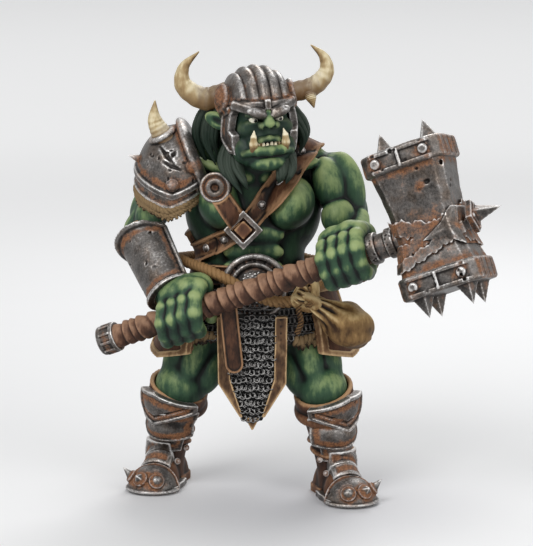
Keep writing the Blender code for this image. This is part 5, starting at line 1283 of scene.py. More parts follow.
def make_pauldron():
    centre, radii = PAULDRON_CENTRE, np.array((8.2, 10.4, 10.2))
    dome, neck, hem = shoulder_field(centre, radii, 3.8)
    low, high = centre - (11.5, 13, 7.5), centre + (9.5, 13, 14)

    def region(P):
        return np.maximum(neck(P), hem(P))

    clay = layer(dome, low, high, 0.19, region, 0.0, 0.55, 1.25, 1.3)
    P = clay.everywhere()
    flange = np.maximum(np.hypot(neck(P) + 0.95, dome(P) - 0.25) - 1.1, hem(P))
    clay.set(np.minimum(clay.field, flange))

    def on_front(x, z):
        y = 1 - ((x - centre[0]) / radii[0]) ** 2 - ((z - centre[2]) / radii[2]) ** 2
        return np.array((x, centre[1] - radii[1] * math.sqrt(max(y, 0)), z))

    rivets = [on_front(-12.2, 66.4), on_front(-16.0, 62.9)]
    for rivet in rivets:
        out = unit((rivet - centre) / radii**2)
        clay.add(ellipsoid(rivet, (1.2, 1.2, 1.2)), drum(rivet + 0.1 * out, out, 1.3, 0.3, 0.15), k=0.15)
    for a, b in (
        ((-18.6, 70.2), (-15.6, 66.7)), ((-15.4, 69.6), (-16.2, 68.1)), ((-18.0, 67.4), (-14.2, 65.8))
    ):
        middle = [(a[k] + b[k]) / 2 for k in range(2)]
        clay.chain([on_front(*a), on_front(*middle), on_front(*b)], (0.15, 0.5, 0.2), k=0.15, cut=True)
    side = centre + (-6.7, -2.4, 3.4)
    clay.add(
        spike(side, (-1, -0.3, 0.35), 1.1, 3.4), ring(side + (-0.1, 0, 0), (-1, -0.3, 0.35), 1.1, 0.35),
        k=0.2
    )
    foot = centre + (-2.5, -4.5, 7.5)
    clay.add(ring(foot + (-0.3, -0.1, 1.0), (-0.55, -0.15, 1), 2.25, 0.6), k=0.3)
    rng = np.random.default_rng(12)
    for _ in range(26):
        point = on_front(rng.uniform(-21, -11), rng.uniform(60.6, 71.6))
        clay.cut(ellipsoid(point, rng.uniform(0.15, 0.4, 3)), k=0.15)

    def rust(P):
        spots = [*rivets, side, foot + (-0.3, -0.1, 1.0)]
        near = soft(region(P) + 2.2, 0.95)
        return np.maximum(near, sum(glow(P, spot, 2.2) for spot in spots))

    cast("pauldron_plate", clay, STEEL, ("pauldron",), rust=rust)
    make_lame(centre, radii, hem)
    make_fringe(centre)


def make_lame(centre, radii, above):
    """The narrow plate that shows under the pauldron's hem."""
    centre, radii = centre + (-0.6, 0, -2.4), radii - 0.35
    dome, neck, hem = shoulder_field(centre, radii, 3.4)

    def region(P):
        return overlap(neck(P) + 0.8, hem(P), -above(P) - 3.0)

    clay = layer(dome, centre - (11, 13, 7.5), centre + (8, 13, 9), 0.2, region, 0.0, 0.3, 0.7, 1.2)
    cast("lame_plate", clay, STEEL, ("pauldron_lame",), rust=lambda P: 0.3 + 0.4 * soft(hem(P) + 1.2, 0.6))


def make_fringe(centre):
    """A twisted fringe of dark hide that hangs out from under the lame."""
    rng = np.random.default_rng(5)
    centre, radii = centre + (-0.9, 0, -4.4), np.array((7.3, 9.5, 9.3))
    rows = []
    for low in (-1.7, -2.7):
        path = []
        for angle in np.radians(np.arange(-215, 16, 7.0)):
            z = centre[2] + low
            for _ in range(4):
                share = math.sqrt(max(0.05, 1 - ((z - centre[2]) / radii[2]) ** 2))
                x = centre[0] + radii[0] * share * math.cos(angle)
                y = centre[1] + radii[1] * share * math.sin(angle)
                aside = x - centre[0] + 0.6
                tilt = 0.42 if aside > 0 else -0.27
                z = centre[2] + low + 0.30 * (y - centre[1] + radii[1]) + tilt * aside
            path.append((x, y, z) + rng.uniform(-0.15, 0.15, 3))
        rows.append(curve_through(path, 240))
    parts = twisted(rows[0], 0.85, 2.3) + twisted(rows[1], 0.75, 1.9)
    for point in rows[1][::3]:
        drop = rng.uniform(0.5, 1.2)
        sway = rng.uniform(-0.5, 0.5, 3) * (1, 1, 0.2)
        path = [
            point, point + 0.6 * sway + (0, 0, -0.5 * drop), point + sway + (0, 0, -0.8 * drop),
            point + (0, 0, -drop)
        ]
        parts.append(tube(curve_through(path, 8), (0.42, 0.46, 0.34, 0.1), 6))
    bundle("fringe_curls", parts, FUR, ("arm_fur",), caps=True, relief=3)


def make_arm_armour():
    make_hand("right", 19.6, RIGHT_WRIST, -45, 2.0)
    make_hand("left", 53.8, LEFT_WRIST, -20, 0.6)
    make_bracer(
        "right_bracer_plate", RIGHT_ELBOW, RIGHT_WRIST, 0.12, 1.06, (5.1, 4.4), (-0.70, -0.70, 0.1), 1.75,
        STEEL, ("right_bracer",)
    )
    make_bracer(
        "left_bracer_cuff", LEFT_ELBOW, LEFT_WRIST, 0.34, 0.92, (4.9, 4.6), (0.3, -0.2, -1.0), 2.6, LEATHER,
        ("left_bracer",)
    )
    make_pauldron()


# Straps, belt and what hangs from it


def node_box(name):
    """A node's lowest and highest corners in the figure's frame, in millimetres."""
    return [np.array(corner) / MM - FIGURE_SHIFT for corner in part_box(name)]


def node_centre(name):
    return sum(node_box(name)) / 2


def front_of(body, x, z, lift=0.0):
    """The point in front of the body's skin at x, z."""
    ys = np.linspace(-20.5, 8, 400)
    depth = body.sample((np.full(400, float(x)), ys, np.full(400, float(z))))
    inside = np.flatnonzero(depth < lift)
    return np.array((x, ys[inside[0]] if len(inside) else -8.0, z))


def outward(body, point):
    """The way out of the body at a point."""
    step = 0.8
    slope = []
    for k in range(3):
        ends = []
        for way in (-step, step):
            moved = [np.array([point[i] + (way if i == k else 0)]) for i in range(3)]
            ends.append(body.sample(moved)[0])
        slope.append(ends[1] - ends[0])
    return unit(slope)


def studs(name, places, ways, radius, rust=0.2):
    """Round-headed studs, as one piece."""
    places = np.asarray(places, float)
    clay = Clay(places.min(0) - 2, places.max(0) + 2, 0.14)
    for place, way in zip(places, ways):
        clay.add(ellipsoid(place, (radius, radius, radius * 0.85), turn_to(way)), k=0.02)
        clay.add(drum(place, way, radius * 1.2, 0.22, 0.1), k=0.08)
    cast(name, clay, STEEL, rust=rust)


def make_baldric(body):
    """The studded strap over the figure's left shoulder."""
    buckle = STRAP_CROSSING
    upper, lower, back = unit((-0.80, 0.0, 0.62)), unit((-0.50, 0.0, 0.86)), unit((-0.65, 0.0, 0.76))

    def aside(P, across, point):
        return across[0] * (P[0] - point[0]) + across[2] * (P[2] - point[2])

    def region(P):
        front = np.where(P[0] > buckle[0], aside(P, upper, buckle), aside(P, lower, buckle))
        behind = aside(P, back, (9.6, 0, 69.0))
        half = 1.8 + 0.9 * np.clip((P[0] - buckle[0]) / 9, 0, 1)
        offset = np.where(P[1] < 0, front, behind) + 0.05 * np.sin(P[2] * 1.3)
        return np.abs(offset) - np.where(P[1] < 0, half, 2.25)

    clay = layer(body, (-16, -16, 40), (20, 12.4, 73), 0.24, region, 0.95, 0.28, 0.55, 0.3)
    # Paler along the strap's edges: wear and a painted edge highlight.
    cast("baldric_strap", clay, LEATHER, ("baldric",), worn=lambda P: soft(region(P) + 0.3, 1.1))
    places, ways = [], []
    for x in (9.2, 7.4, 4.9, 1.4, -6.0, -9.6):
        across = upper if x > buckle[0] else lower
        point = front_of(body, x, buckle[2] - across[0] / across[2] * (x - buckle[0]), 0.95)
        places.append(point)
        ways.append(outward(body, point))
    studs("baldric_studs", places, ways, 0.72)


def make_chest_strap(body):
    """The short strap from the boss down to the buckle."""
    boss = node_centre("chest_medallion") + BOSS_SHIFT
    top, foot = np.array((-8.8, 64.2)), np.array((-1.8, 53.4))
    along = (foot - top) / np.linalg.norm(foot - top)

    def short(P):
        u = (P[0] - top[0]) * along[0] + (P[2] - top[1]) * along[1]
        v = (P[0] - top[0]) * along[1] - (P[2] - top[1]) * along[0]
        ends = np.maximum(1.6 - u, u - np.linalg.norm(foot - top))
        ends = np.maximum(ends, 2.7 - np.hypot(P[0] - boss[0], P[2] - boss[2]))
        return overlap(np.abs(v) - 1.9, ends, P[1] + 1.5)

    clay = layer(body, (-13, -15, 50), (3, 0, 68), 0.2, short, 1.1, 0.28, 0.5, 0.2)
    # Paler along the strap's edges: wear and a painted edge highlight.
    cast(
        "chest_strap_leather", clay, LEATHER, ("chest_strap",),
        worn=lambda P: 0.7 * soft(short(P) + 0.2, 0.7)
    )


def make_strap_buckle():
    """The square buckle standing on its corner, filled with leather."""
    centre = node_centre("strap_buckle")
    turn = turn_to((0.0, -1, 0.12)) @ rotation("Z", 45)
    clay = Clay((-4.5, -4.5, -1.6), (4.5, 4.5, 2.0), 0.11)
    clay.add(box((0, 0, 0.1), (2.75, 2.75, 0.7), None, 0.2), k=0.05)
    clay.cut(box((0, 0, 0.6), (1.75, 1.75, 1.6), None, 0.15), k=0.1)
    cast("strap_buckle_frame", clay, STEEL, ("strap_buckle",), (turn, centre), rust=0.15)
    clay = Clay((-4.5, -4.5, -2.6), (4.5, 4.5, 1.0), 0.15)
    clay.add(
        box((0, 0, -0.9), (2.3, 2.3, 0.7), None, 0.2), box((0, 0, -0.2), (1.35, 1.35, 0.75), None, 0.3),
        k=0.1
    )
    cast("strap_buckle_leather", clay, LEATHER, (), (turn, centre))


def make_medallion():
    """The round boss on the figure's right breast."""
    centre = node_centre("chest_medallion") + BOSS_SHIFT
    turn = turn_to((-0.15, -1, 0.12))
    clay = Clay((-4, -4, -3.6), (4, 4, 2), 0.1)
    clay.add(drum((0, 0, -1.5), (0, 0, 1), 2.85, 1.75, 0.2), k=0.05)
    clay.add(ring((0, 0, 0.3), (0, 0, 1), 2.7, 0.36), ring((0, 0, 0.35), (0, 0, 1), 1.35, 0.62, 0.8), k=0.15)
    clay.cut(ellipsoid((0, 0, 0.6), (0.8, 0.8, 0.9)), k=0.2)

    def rust(P):
        away = np.sqrt(P[0] ** 2 + P[1] ** 2)
        return 1.2 * soft(away - 2.1, 0.45) + soft(away, 0.7)

    cast("medallion_rings", clay, STEEL, ("chest_medallion",), (turn, centre), rust=rust)


def make_belt(body):
    def region(P):
        return np.abs(P[2] - WAIST + 0.10 * (P[1] + 0.4)) - 2.0

    clay = layer(body, (-16, -14, 40), (16, 12.4, 48), 0.24, region, 1.0, 0.25, 0.5, 0.2)
    cast("belt_strap", clay, LEATHER, ("belt",))


def make_belt_buckle():
    """The round buckle. Returns its centre."""
    low, high = node_box("belt_buckle")
    centre = np.array(((low[0] + high[0]) / 2, high[1] - 0.6, (low[2] + high[2]) / 2))
    turn = turn_to((0, -1, 0.04))
    clay = Clay((-7.6, -7.6, -1.4), (7.6, 7.6, 3.0), 0.15)
    clay.add(drum((0, 0, 0.1), (0, 0, 1), 6.6, 0.65, 0.2), k=0.05)
    clay.add(ring((0, 0, 0.8), (0, 0, 1), 6.1, 0.62), ring((0, 0, 0.7), (0, 0, 1), 4.5, 0.5), k=0.15)
    clay.add(ellipsoid((0, 0, 0.5), (3.4, 3.4, 1.5)), k=0.2)
    for k in range(70):
        away, angle = 3.1 * math.sqrt((k + 0.5) / 70), k * 2.39996
        lift = 0.5 + 1.5 * math.sqrt(max(0, 1 - (away / 3.4) ** 2))
        clay.add(ellipsoid((away * math.cos(angle), away * math.sin(angle), lift), (0.24, 0.24, 0.2)), k=0.05)
    for k in range(16):
        angle = 2 * np.pi * k / 16
        clay.cut(ellipsoid((5.3 * math.cos(angle), 5.3 * math.sin(angle), 0.9), (0.35, 0.35, 0.4)), k=0.1)

    def rust(P):
        away = np.sqrt(P[0] ** 2 + P[1] ** 2)
        return 0.7 * soft(away - 5.3, 0.4) + 0.6 * soft(away - 3.6, 0.35)

    cast("belt_buckle_rings", clay, STEEL, ("belt_buckle",), (turn, centre), rust=rust)
    return centre


def twisted(path, radius, pitch):
    """Three strands laid round each other along a path."""
    side, other = frames(path, False)
    steps = np.linalg.norm(np.diff(path, axis=0), axis=1)
    length = np.concatenate([[0], np.cumsum(steps)])
    parts = []
    for k in range(3):
        angle = (2 * np.pi * (length / pitch + k / 3))[:, None]
        strand = path + 0.52 * radius * (side * np.cos(angle) + other * np.sin(angle))
        parts.append(tube(strand, (0.56 * radius, 0.56 * radius), 8))
    return parts


def make_rope(front):
    """The rope round the waist, the hide loops of its knot and a hanging end."""
    half, deep = 14.35, 11.1
    parts = []
    y = front - 1.5
    loop = [
        (-half * 0.62, -deep * 0.98, 2.2), (-4.0, y, 0.0), (0.0, y - 0.2, -2.2), (4.5, y, -3.6),
        (9.6, -deep * 1.05, -3.0)
    ]
    loop += [(half + 0.6, -2.5, 0.0), (half, 4.0, 1.0), (half * 0.6, deep, 1.6), (0, deep + 0.8, 2.0)]
    loop += [(-half * 0.6, deep, 2.0), (-half, 4.0, 2.6), (-half - 0.2, -2.5, 3.0)]
    loop = [np.add(point, (0, 0, WAIST)) for point in loop]
    path = curve_through([loop[-1], *loop, loop[0], loop[1]], 420)
    parts += twisted(path[28:-28], 1.15, 3.2)
    knot = np.array((10.2, -12.6, 41.4))
    loops = []
    for one, two, size, shift in (
        ((0.15, -0.1, 1), (1, -0.3, -0.2), 2.2, (0.3, -1.3, 1.3)),
        ((1, -0.1, -0.25), (0.3, -0.5, 1), 2.3, (-0.2, -1.5, -0.9))
    ):
        t = np.linspace(0, 2 * np.pi, 40, endpoint=False)[:, None]
        ring_path = knot + np.array(shift) + size * np.cos(t) * unit(one) + 1.35 * np.sin(t) * unit(two)
        loops.append(tube(ring_path, (0.9, 0.9), 12, True))
    bundle("knot_loops", loops, TAN, relief=3)
    end = [knot, knot + (-1.6, -1.4, -2.2), knot + (-1.2, -1.0, -5.0), knot + (-2.0, -0.8, -7.4)]
    parts += twisted(curve_through(end, 50), 0.6, 2.0)
    bundle("rope_strands", parts, ROPE, ("rope_belt",), caps=True, relief=3)


def hip_size(height):
    """Half the width and half the depth of the flared skirt at a height."""
    share = (41.4 - height) / 9.4
    thigh = 9.3 + 6.4 + 0.38 * (33.0 - height)
    wide = np.maximum(12.25 + 1.6 + 3.0 * share, np.where(height < 36, thigh + 2.1 - 0.75, 0))
    return wide, 8.5 + 1.6 + 1.6 * share


def hip_point(angle, height, lift=0.0):
    wide, deep = hip_size(height)
    out = unit((math.sin(angle) / wide, -math.cos(angle) / deep, 0.12))
    return np.array((wide * math.sin(angle), -deep * math.cos(angle) - 0.6, height)) + out * lift, out


def hip_field(P):
    wide, deep = hip_size(P[2])
    near = np.sqrt((P[0] / wide) ** 2 + ((P[1] + 0.6) / deep) ** 2) + 1e-6
    steep = np.sqrt((P[0] / wide**2) ** 2 + ((P[1] + 0.6) / deep**2) ** 2) + 1e-6
    return near * (near - 1) / steep


def link(place, out, tilt, radius=0.60):
    """One ring of mail."""
    turn = turn_to(out) @ rotation("X", tilt)
    a = np.linspace(0, 2 * np.pi, 12, endpoint=False)
    loop = np.stack((radius * np.cos(a), radius * np.sin(a), 0 * a), 1) @ turn.T + place
    return tube(loop, (0.15, 0.15), 6, True)


def make_skirt():
    """The mail round the hips on its dark backing, with a ragged hide fringe along the hem."""
    clay = Clay((-20, -14.6, 29.5), (20, 13.4, 43), 0.26)
    P = clay.everywhere()
    angle = np.arctan2(P[0], -P[1])
    hem = 32.0 + 0.7 * np.sin(angle * 9)
    clay.set(overlap(hip_field(P) + 0.35, -hip_field(P) - 1.1, hem - P[2], P[2] - 42.2))
    cast("skirt_backing", clay, MAIL, ("mail_skirt",))
    rings, tatters = [], []
    rng = np.random.default_rng(31)
    for row in range(12):
        height = 41.8 - 0.82 * row
        for column in range(96):
            place, out = hip_point(2 * np.pi * (column + 0.5 * (row % 2)) / 96, height, 0.05)
            rings.append(link(place, out, 32 if row % 2 else -32))
    bundle("skirt_rings", rings, RINGS, relief=2, ease=0)
    for row, lift in ((0, 0.35), (1, -0.2)):
        for angle in np.arange(0, 2 * np.pi, 0.062) + 0.03 * row:
            top, out = hip_point(angle, 33.4 + 0.5 * math.sin(angle * 9), lift)
            drop = rng.uniform(1.8, 3.4)
            sway = rng.uniform(-0.5, 0.5, 3) * (1, 1, 0.2)
            if abs(top[0]) < 7.6 and top[1] < 0:
                continue
            path = [
                top, top + out * 0.3 + (0, 0, -0.4 * drop), top + sway + (0, 0, -0.75 * drop),
                top + sway * 0.3 + (0, 0, -drop)
            ]
            tatters.append(tube(curve_through(path, 8), (0.5, 0.72, 0.55, 0.1), 6))
    bundle("skirt_fringe", tatters, FUR, caps=True, relief=3)


def apron_outline(grow):
    """The apron's six-cornered outline about its own middle, drawn in or out."""
    wide, foot = 6.6 + grow, 2.3 + 0.5 * grow
    low = 17.3 if grow > 0 else 15.4
    return [
        (-wide, 37.4), (wide, 37.4), (wide - 0.2, 24.2 - 0.4 * grow), (foot, low), (-foot, low),
        (0.2 - wide, 24.2 - 0.4 * grow)
    ]


def apron_front(start, u, z):
    """How far forward the apron lies, bent round its middle and leaning back at the foot."""
    return start - 0.5 * np.cos(u / 4.4) + 0.9 * np.clip((34 - z) / 20, 0, 1)


def make_apron():
    """The mail panel between the thighs and its leather edging."""
    inner, outer = polygon(apron_outline(-2.1)), polygon(apron_outline(0.3))
    clay = Clay((-7.8, -14.6, 14.4), (6.8, -10.2, 38.2), 0.16)
    x, y, z = clay.everywhere()
    u = x + 0.5
    front = apron_front(-12.4, u, z)
    hollow, edge = inner(u, z), outer(u, z)
    raised = 0.75 + 0.15 * np.clip((np.maximum(edge, -hollow) + 0.5) / 0.3, 0, 1)
    sheet = np.abs(y - front) - raised
    clay.set(overlap(sheet, edge, -hollow))
    for k in range(9):
        for side in (-1, 1):
            clay.cut(ellipsoid((-0.5 + side * 5.6, -13.6, 26.0 + 1.35 * k), (0.16, 0.5, 0.3)), k=0.1)
    cast(
        "apron_edging", clay, EDGING, ("apron_border",),
        worn=lambda P: 0.25 + 0.25 * np.sin(P[2] * 0.9 + P[0])
    )
    tip = polygon([(-1.45, 17.2), (1.45, 17.2), (0.15, 14.7), (-0.15, 14.7)])
    clay = Clay((-2.8, -14.0, 13.9), (1.8, -10.0, 18.0), 0.12)
    x, y, z = clay.everywhere()
    clay.set(np.maximum(np.abs(y + 11.8) - 0.7, tip(x + 0.5, z)))
    cast("apron_tip", clay, EDGING)
    clay = Clay((-6.4, -13.6, 16.4), (5.4, -10.4, 38.4), 0.2)
    x, y, z = clay.everywhere()
    u = x + 0.5
    front = apron_front(-11.9, u, z)
    clay.set(overlap(np.abs(y - front) - 0.4, inner(u, z) - 0.4, 16.4 - z))
    cast("apron_backing", clay, MAIL, ("mail_apron",))
    rings = []
    for row in range(27):
        for column in range(-6, 7):
            across = 0.86 * (column + 0.5 * (row % 2)) + 0.16 * math.sin(row * 1.3 + column * 0.9)
            height = 37.2 - 0.78 * row + 0.20 * math.sin(column * 1.9 + row * 0.7)
            if inner(np.array(across), np.array(height)) > -0.15 or height < 16.6:
                continue
            place = np.array((across - 0.5, apron_front(-12.9, across, height), height))
            aside = 0.04 * across + 0.3 * math.sin(column * 2.1 + row * 1.3)
            out = (aside, -1, 0.1 + 0.25 * math.sin(row * 2.3 + column))
            rings.append(link(place, out, 24 if row % 2 else -24, 0.58))
    bundle("apron_rings", rings, RINGS, relief=2, ease=0)


def make_tongue():
    """The loose end of the belt, with a raised edge."""
    top = np.array((-5.1, -14.2, 39.0))
    turn = rotation("Y", -6)
    outline = [(-1.75, 1.5), (1.75, 1.5)]
    outline += [(1.75 * math.cos(a), -10.8 - 1.75 * math.sin(a)) for a in np.linspace(0, np.pi, 9)]
    shape = polygon(outline)
    clay = Clay((-3, -1.6, -14), (3, 1.6, 3), 0.12)
    x, y, z = clay.everywhere()
    edge = shape(x, z)
    raised = 0.5 + 0.25 * np.clip((edge + 0.45) / 0.12, 0, 1)
    clay.set(np.maximum(np.abs(y + 0.12 * np.sin(z * 0.7)) - raised, edge))

    # Paler near the outline: wear and a painted edge highlight.
    def worn(P):
        return 0.8 * soft(shape(P[0], P[2]) + 0.1, 0.55)

    cast("belt_tongue_leather", clay, LEATHER, ("belt_tongue",), (turn, top), worn=worn)


def make_flaps():
    """Stiff leather flaps with tan borders over the mail at the sides and the back."""
    for name, middle, spread, foot in (
        ("right_tasset", -72, 19, 28.2), ("left_tasset", 72, 19, 28.2), ("back_flap", 180, 29, 25.6)
    ):
        centre = math.radians(middle)

        def region(P, centre=centre, spread=spread, foot=foot):
            angle = half_turn(np.arctan2(P[0], -P[1] - 0.6) - centre)
            aside = np.abs(angle) * 14.0 - math.radians(spread) * 14.0 * (1.0 + 0.012 * (42 - P[2]))
            return overlap(aside, P[2] - 42.6, foot + 0.28 * np.abs(angle) * 14.0 - P[2])

        point = hip_point(centre, 35.0)[0]
        low, high = point - (9.5, 9.5, 11), point + (9.5, 9.5, 9)
        clay = layer(hip_field, low, high, 0.22, region, 2.3, 0.0, 1.0, -1.1)
        cast(name + "_leather", clay, LEATHER, (name,))

        def edge(P, region=region):
            return np.abs(region(P) + 0.55) - 0.6

        clay = layer(hip_field, low, high, 0.2, edge, 2.65, 0.0, 0.5, -1.4)
        cast(name + "_border", clay, EDGING)
        places, ways = [], []
        for turn in (-0.16, 0.16):
            place, way = hip_point(centre + turn, 40.4, 2.5)
            places.append(place)
            ways.append(way)
        studs(name + "_studs", places, ways, 0.62)


def make_pouch():
    """A soft drawstring bag with gathered folds below its tie."""
    neck, foot = np.array((10.8, -13.4, 40.6)), np.array((18.5, -12.5, 35.5))
    hang = unit(foot - neck)
    turn = turn_to(hang)
    length = np.linalg.norm(foot - neck)
    clay = Clay((-6.4, -6.4, -3.6), (6.4, 6.4, length + 6.0), 0.17)
    x, y, z = clay.everywhere()
    clay.add(
        ellipsoid((0, 0, length), (4.35, 4.35, 4.9)), cone((0, 0, 0.4), (0, 0, length - 1), 1.35, 3.7),
        k=1.2
    )
    clay.add(cone((0, 0, -0.6), (0, 0, -2.2), 1.0, 1.9), k=0.3)
    angle = np.arctan2(y, x)
    gathered = np.clip((length * 0.95 - z) / length, 0, 1) ** 0.8
    folds = 0.34 * gathered * np.sin(angle * 9 + 1.2 * np.sin(z * 0.5)) + 0.22 * np.sin(angle * 4 + z * 0.8)
    clay.set(clay.field + folds * np.clip(np.sqrt(x * x + y * y) / 2.0, 0, 1))
    crease = [(3.4, -1.5, length * 0.55), (4.4, 0.6, length * 0.8), (3.6, 2.6, length * 1.05)]
    clay.chain(crease, (0.3, 0.4, 0.2), k=0.5, cut=True)
    crease = [(-1.5, -3.4, length * 0.5), (0.4, -4.4, length * 0.85), (2.2, -3.7, length * 1.15)]
    clay.chain(crease, (0.3, 0.4, 0.2), k=0.5, cut=True)
    cast("pouch_bag", clay, TAN, ("pouch",), (turn, neck))
    t = np.linspace(0, 4 * np.pi, 90)[:, None]
    circle = np.cos(t) * turn[:, 0] + np.sin(t) * turn[:, 1]
    ties = neck + 1.35 * circle + np.linspace(-0.5, 0.5, 90)[:, None] * hang
    bundle("pouch_tie", twisted(ties, 0.42, 1.5), ROPE, caps=True, relief=2)


def make_breeches():
    """The dark breeches seen between the thighs."""
    clay = Clay((-14, -10.5, 27), (14, 9.5, 44), 0.3)
    clay.add(ellipsoid((0, -0.5, 37.5), (11.6, 8.0, 6.4)), ellipsoid((0, -1.0, 32), (6.0, 6.0, 4.5)), k=2.0)
    cast("breeches", clay, LEATHER, ("pelvis",))


def make_gear(body):
    make_baldric(body)
    make_chest_strap(body)
    make_strap_buckle()
    make_medallion()
    make_belt(body)
    buckle = make_belt_buckle()
    make_rope(buckle[1] - 1.6)
    make_skirt()
    make_apron()
    make_tongue()
    make_flaps()
    make_pouch()
    make_breeches()


# Boots, each in its own foot's frame: -y to the toe, heel at the origin


def shaft_axis(P, ankle, shaft):
    """Where the leaning shaft's middle lies at each height."""
    return [ankle[k] + shaft[k] * (P[2] - ankle[2]) / shaft[2] for k in range(2)]


def shape_foot(low, high, ankle, shaft):
    """The plain form of foot and calf that boot and plates are laid on."""
    foot = Clay(low, high, 0.24)
    for along, width, height in ((0.16, 0.80, 6.1), (0.34, 0.82, 8.2), (0.56, 0.90, 6.6), (0.78, 1.0, 4.2)):
        foot.add(ellipsoid((0, -along * FOOT_LENGTH, 0.4), (4.3 * width, 3.8, height)), k=0.8)
    calf = ((0, 0.45, 3.5, 4.0, 1.2), (0.45, 0.8, 4.0, 5.8, 1.0), (0.8, 1.1, 5.8, 6.2, 0.6))
    for start, end, thin, thick, k in calf:
        foot.add(cone(ankle + start * shaft, ankle + end * shaft, thin, thick), k=k)
    return foot


def make_boot(side, outer, knee, ankle, toe_out):
    """One boot with its cuff and ties, its sole, and the armour on it."""
    turn = rotation("Z", toe_out)
    heel = np.array((ankle[0], ankle[1], 0.0)) + turn @ np.array((0, 0.32 * FOOT_LENGTH, 0))
    place = (turn, heel)
    ankle = turn.T @ (np.array(ankle) - heel)
    shaft = turn.T @ (np.array((knee[0], knee[1], 22.5)) - heel) - ankle
    low, high = (-11.0, -21.5, -0.2), (13.5, 6.0, 25.4)
    foot = shape_foot(low, high, ankle, shaft)
    P = foot.everywhere()
    axis = shaft_axis(P, ankle, shaft)
    away = np.sqrt((P[0] - axis[0]) ** 2 + (P[1] - axis[1]) ** 2)
    brim = 20.5 + 0.34 * outer * (P[0] - axis[0]) + 0.26 * (P[1] - axis[1])
    boot = Clay(low, high, 0.24)
    hollow = np.where(P[2] > brim - 1.6, -foot.field - 0.8, -9)
    boot.set(overlap(foot.field, -P[2], P[2] - brim - 0.9, hollow))
    roll = np.sqrt((away - 5.6) ** 2 + ((P[2] - brim - 0.7) * 0.95) ** 2) - 0.5
    fold = np.sqrt((away - 5.6) ** 2 + ((P[2] - brim + 2.3) * 0.8) ** 2) - 0.85
    boot.set(np.minimum(boot.field, np.minimum(roll, fold)))
    for height, size in ((14.6, 0.5), (11.6, 0.45), (8.8, 0.55)):
        loop = []
        for a in np.linspace(0, 2 * np.pi, 40):
            middle = ankle + shaft * ((height + 0.5 * math.sin(2 * a + height) - ankle[2]) / shaft[2])
            loop.append(middle + np.array((math.cos(a), math.sin(a), 0)) * (3.9 + 0.16 * max(0, height - 9)))
        boot.chain(loop, [size] * len(loop), k=0.08)
    slab = foot.field[:, :, int(1.6 / foot.grain)][:, :, None]
    block = overlap(slab - 0.35, P[2] - 1.5, -P[2], -P[1] - 7.0)
    boot.set(np.minimum(boot.field, block))
    cast(side + "_boot_leather", boot, LEATHER, (side + "_boot",), place)
    make_sole(side, foot, place)
    make_plates(side, outer, foot, ankle, shaft, place)
    make_toe_cap(side, outer, place)


def make_sole(side, foot, place):
    """The iron rim round the front of the sole."""
    sole = Clay(foot.low, (11.0, -5.0, 1.6), 0.16)
    Q = sole.everywhere()
    outline = foot.sample((Q[0], Q[1], 1.4 + 0 * Q[2]))
    rounded = np.abs(Q[2] - 0.65) - 0.65
    sole.set(overlap(outline - 1.15, rounded, Q[1] + 6.6))
    cast(side + "_sole_rim", sole, STEEL, (), place, rust=0.25)


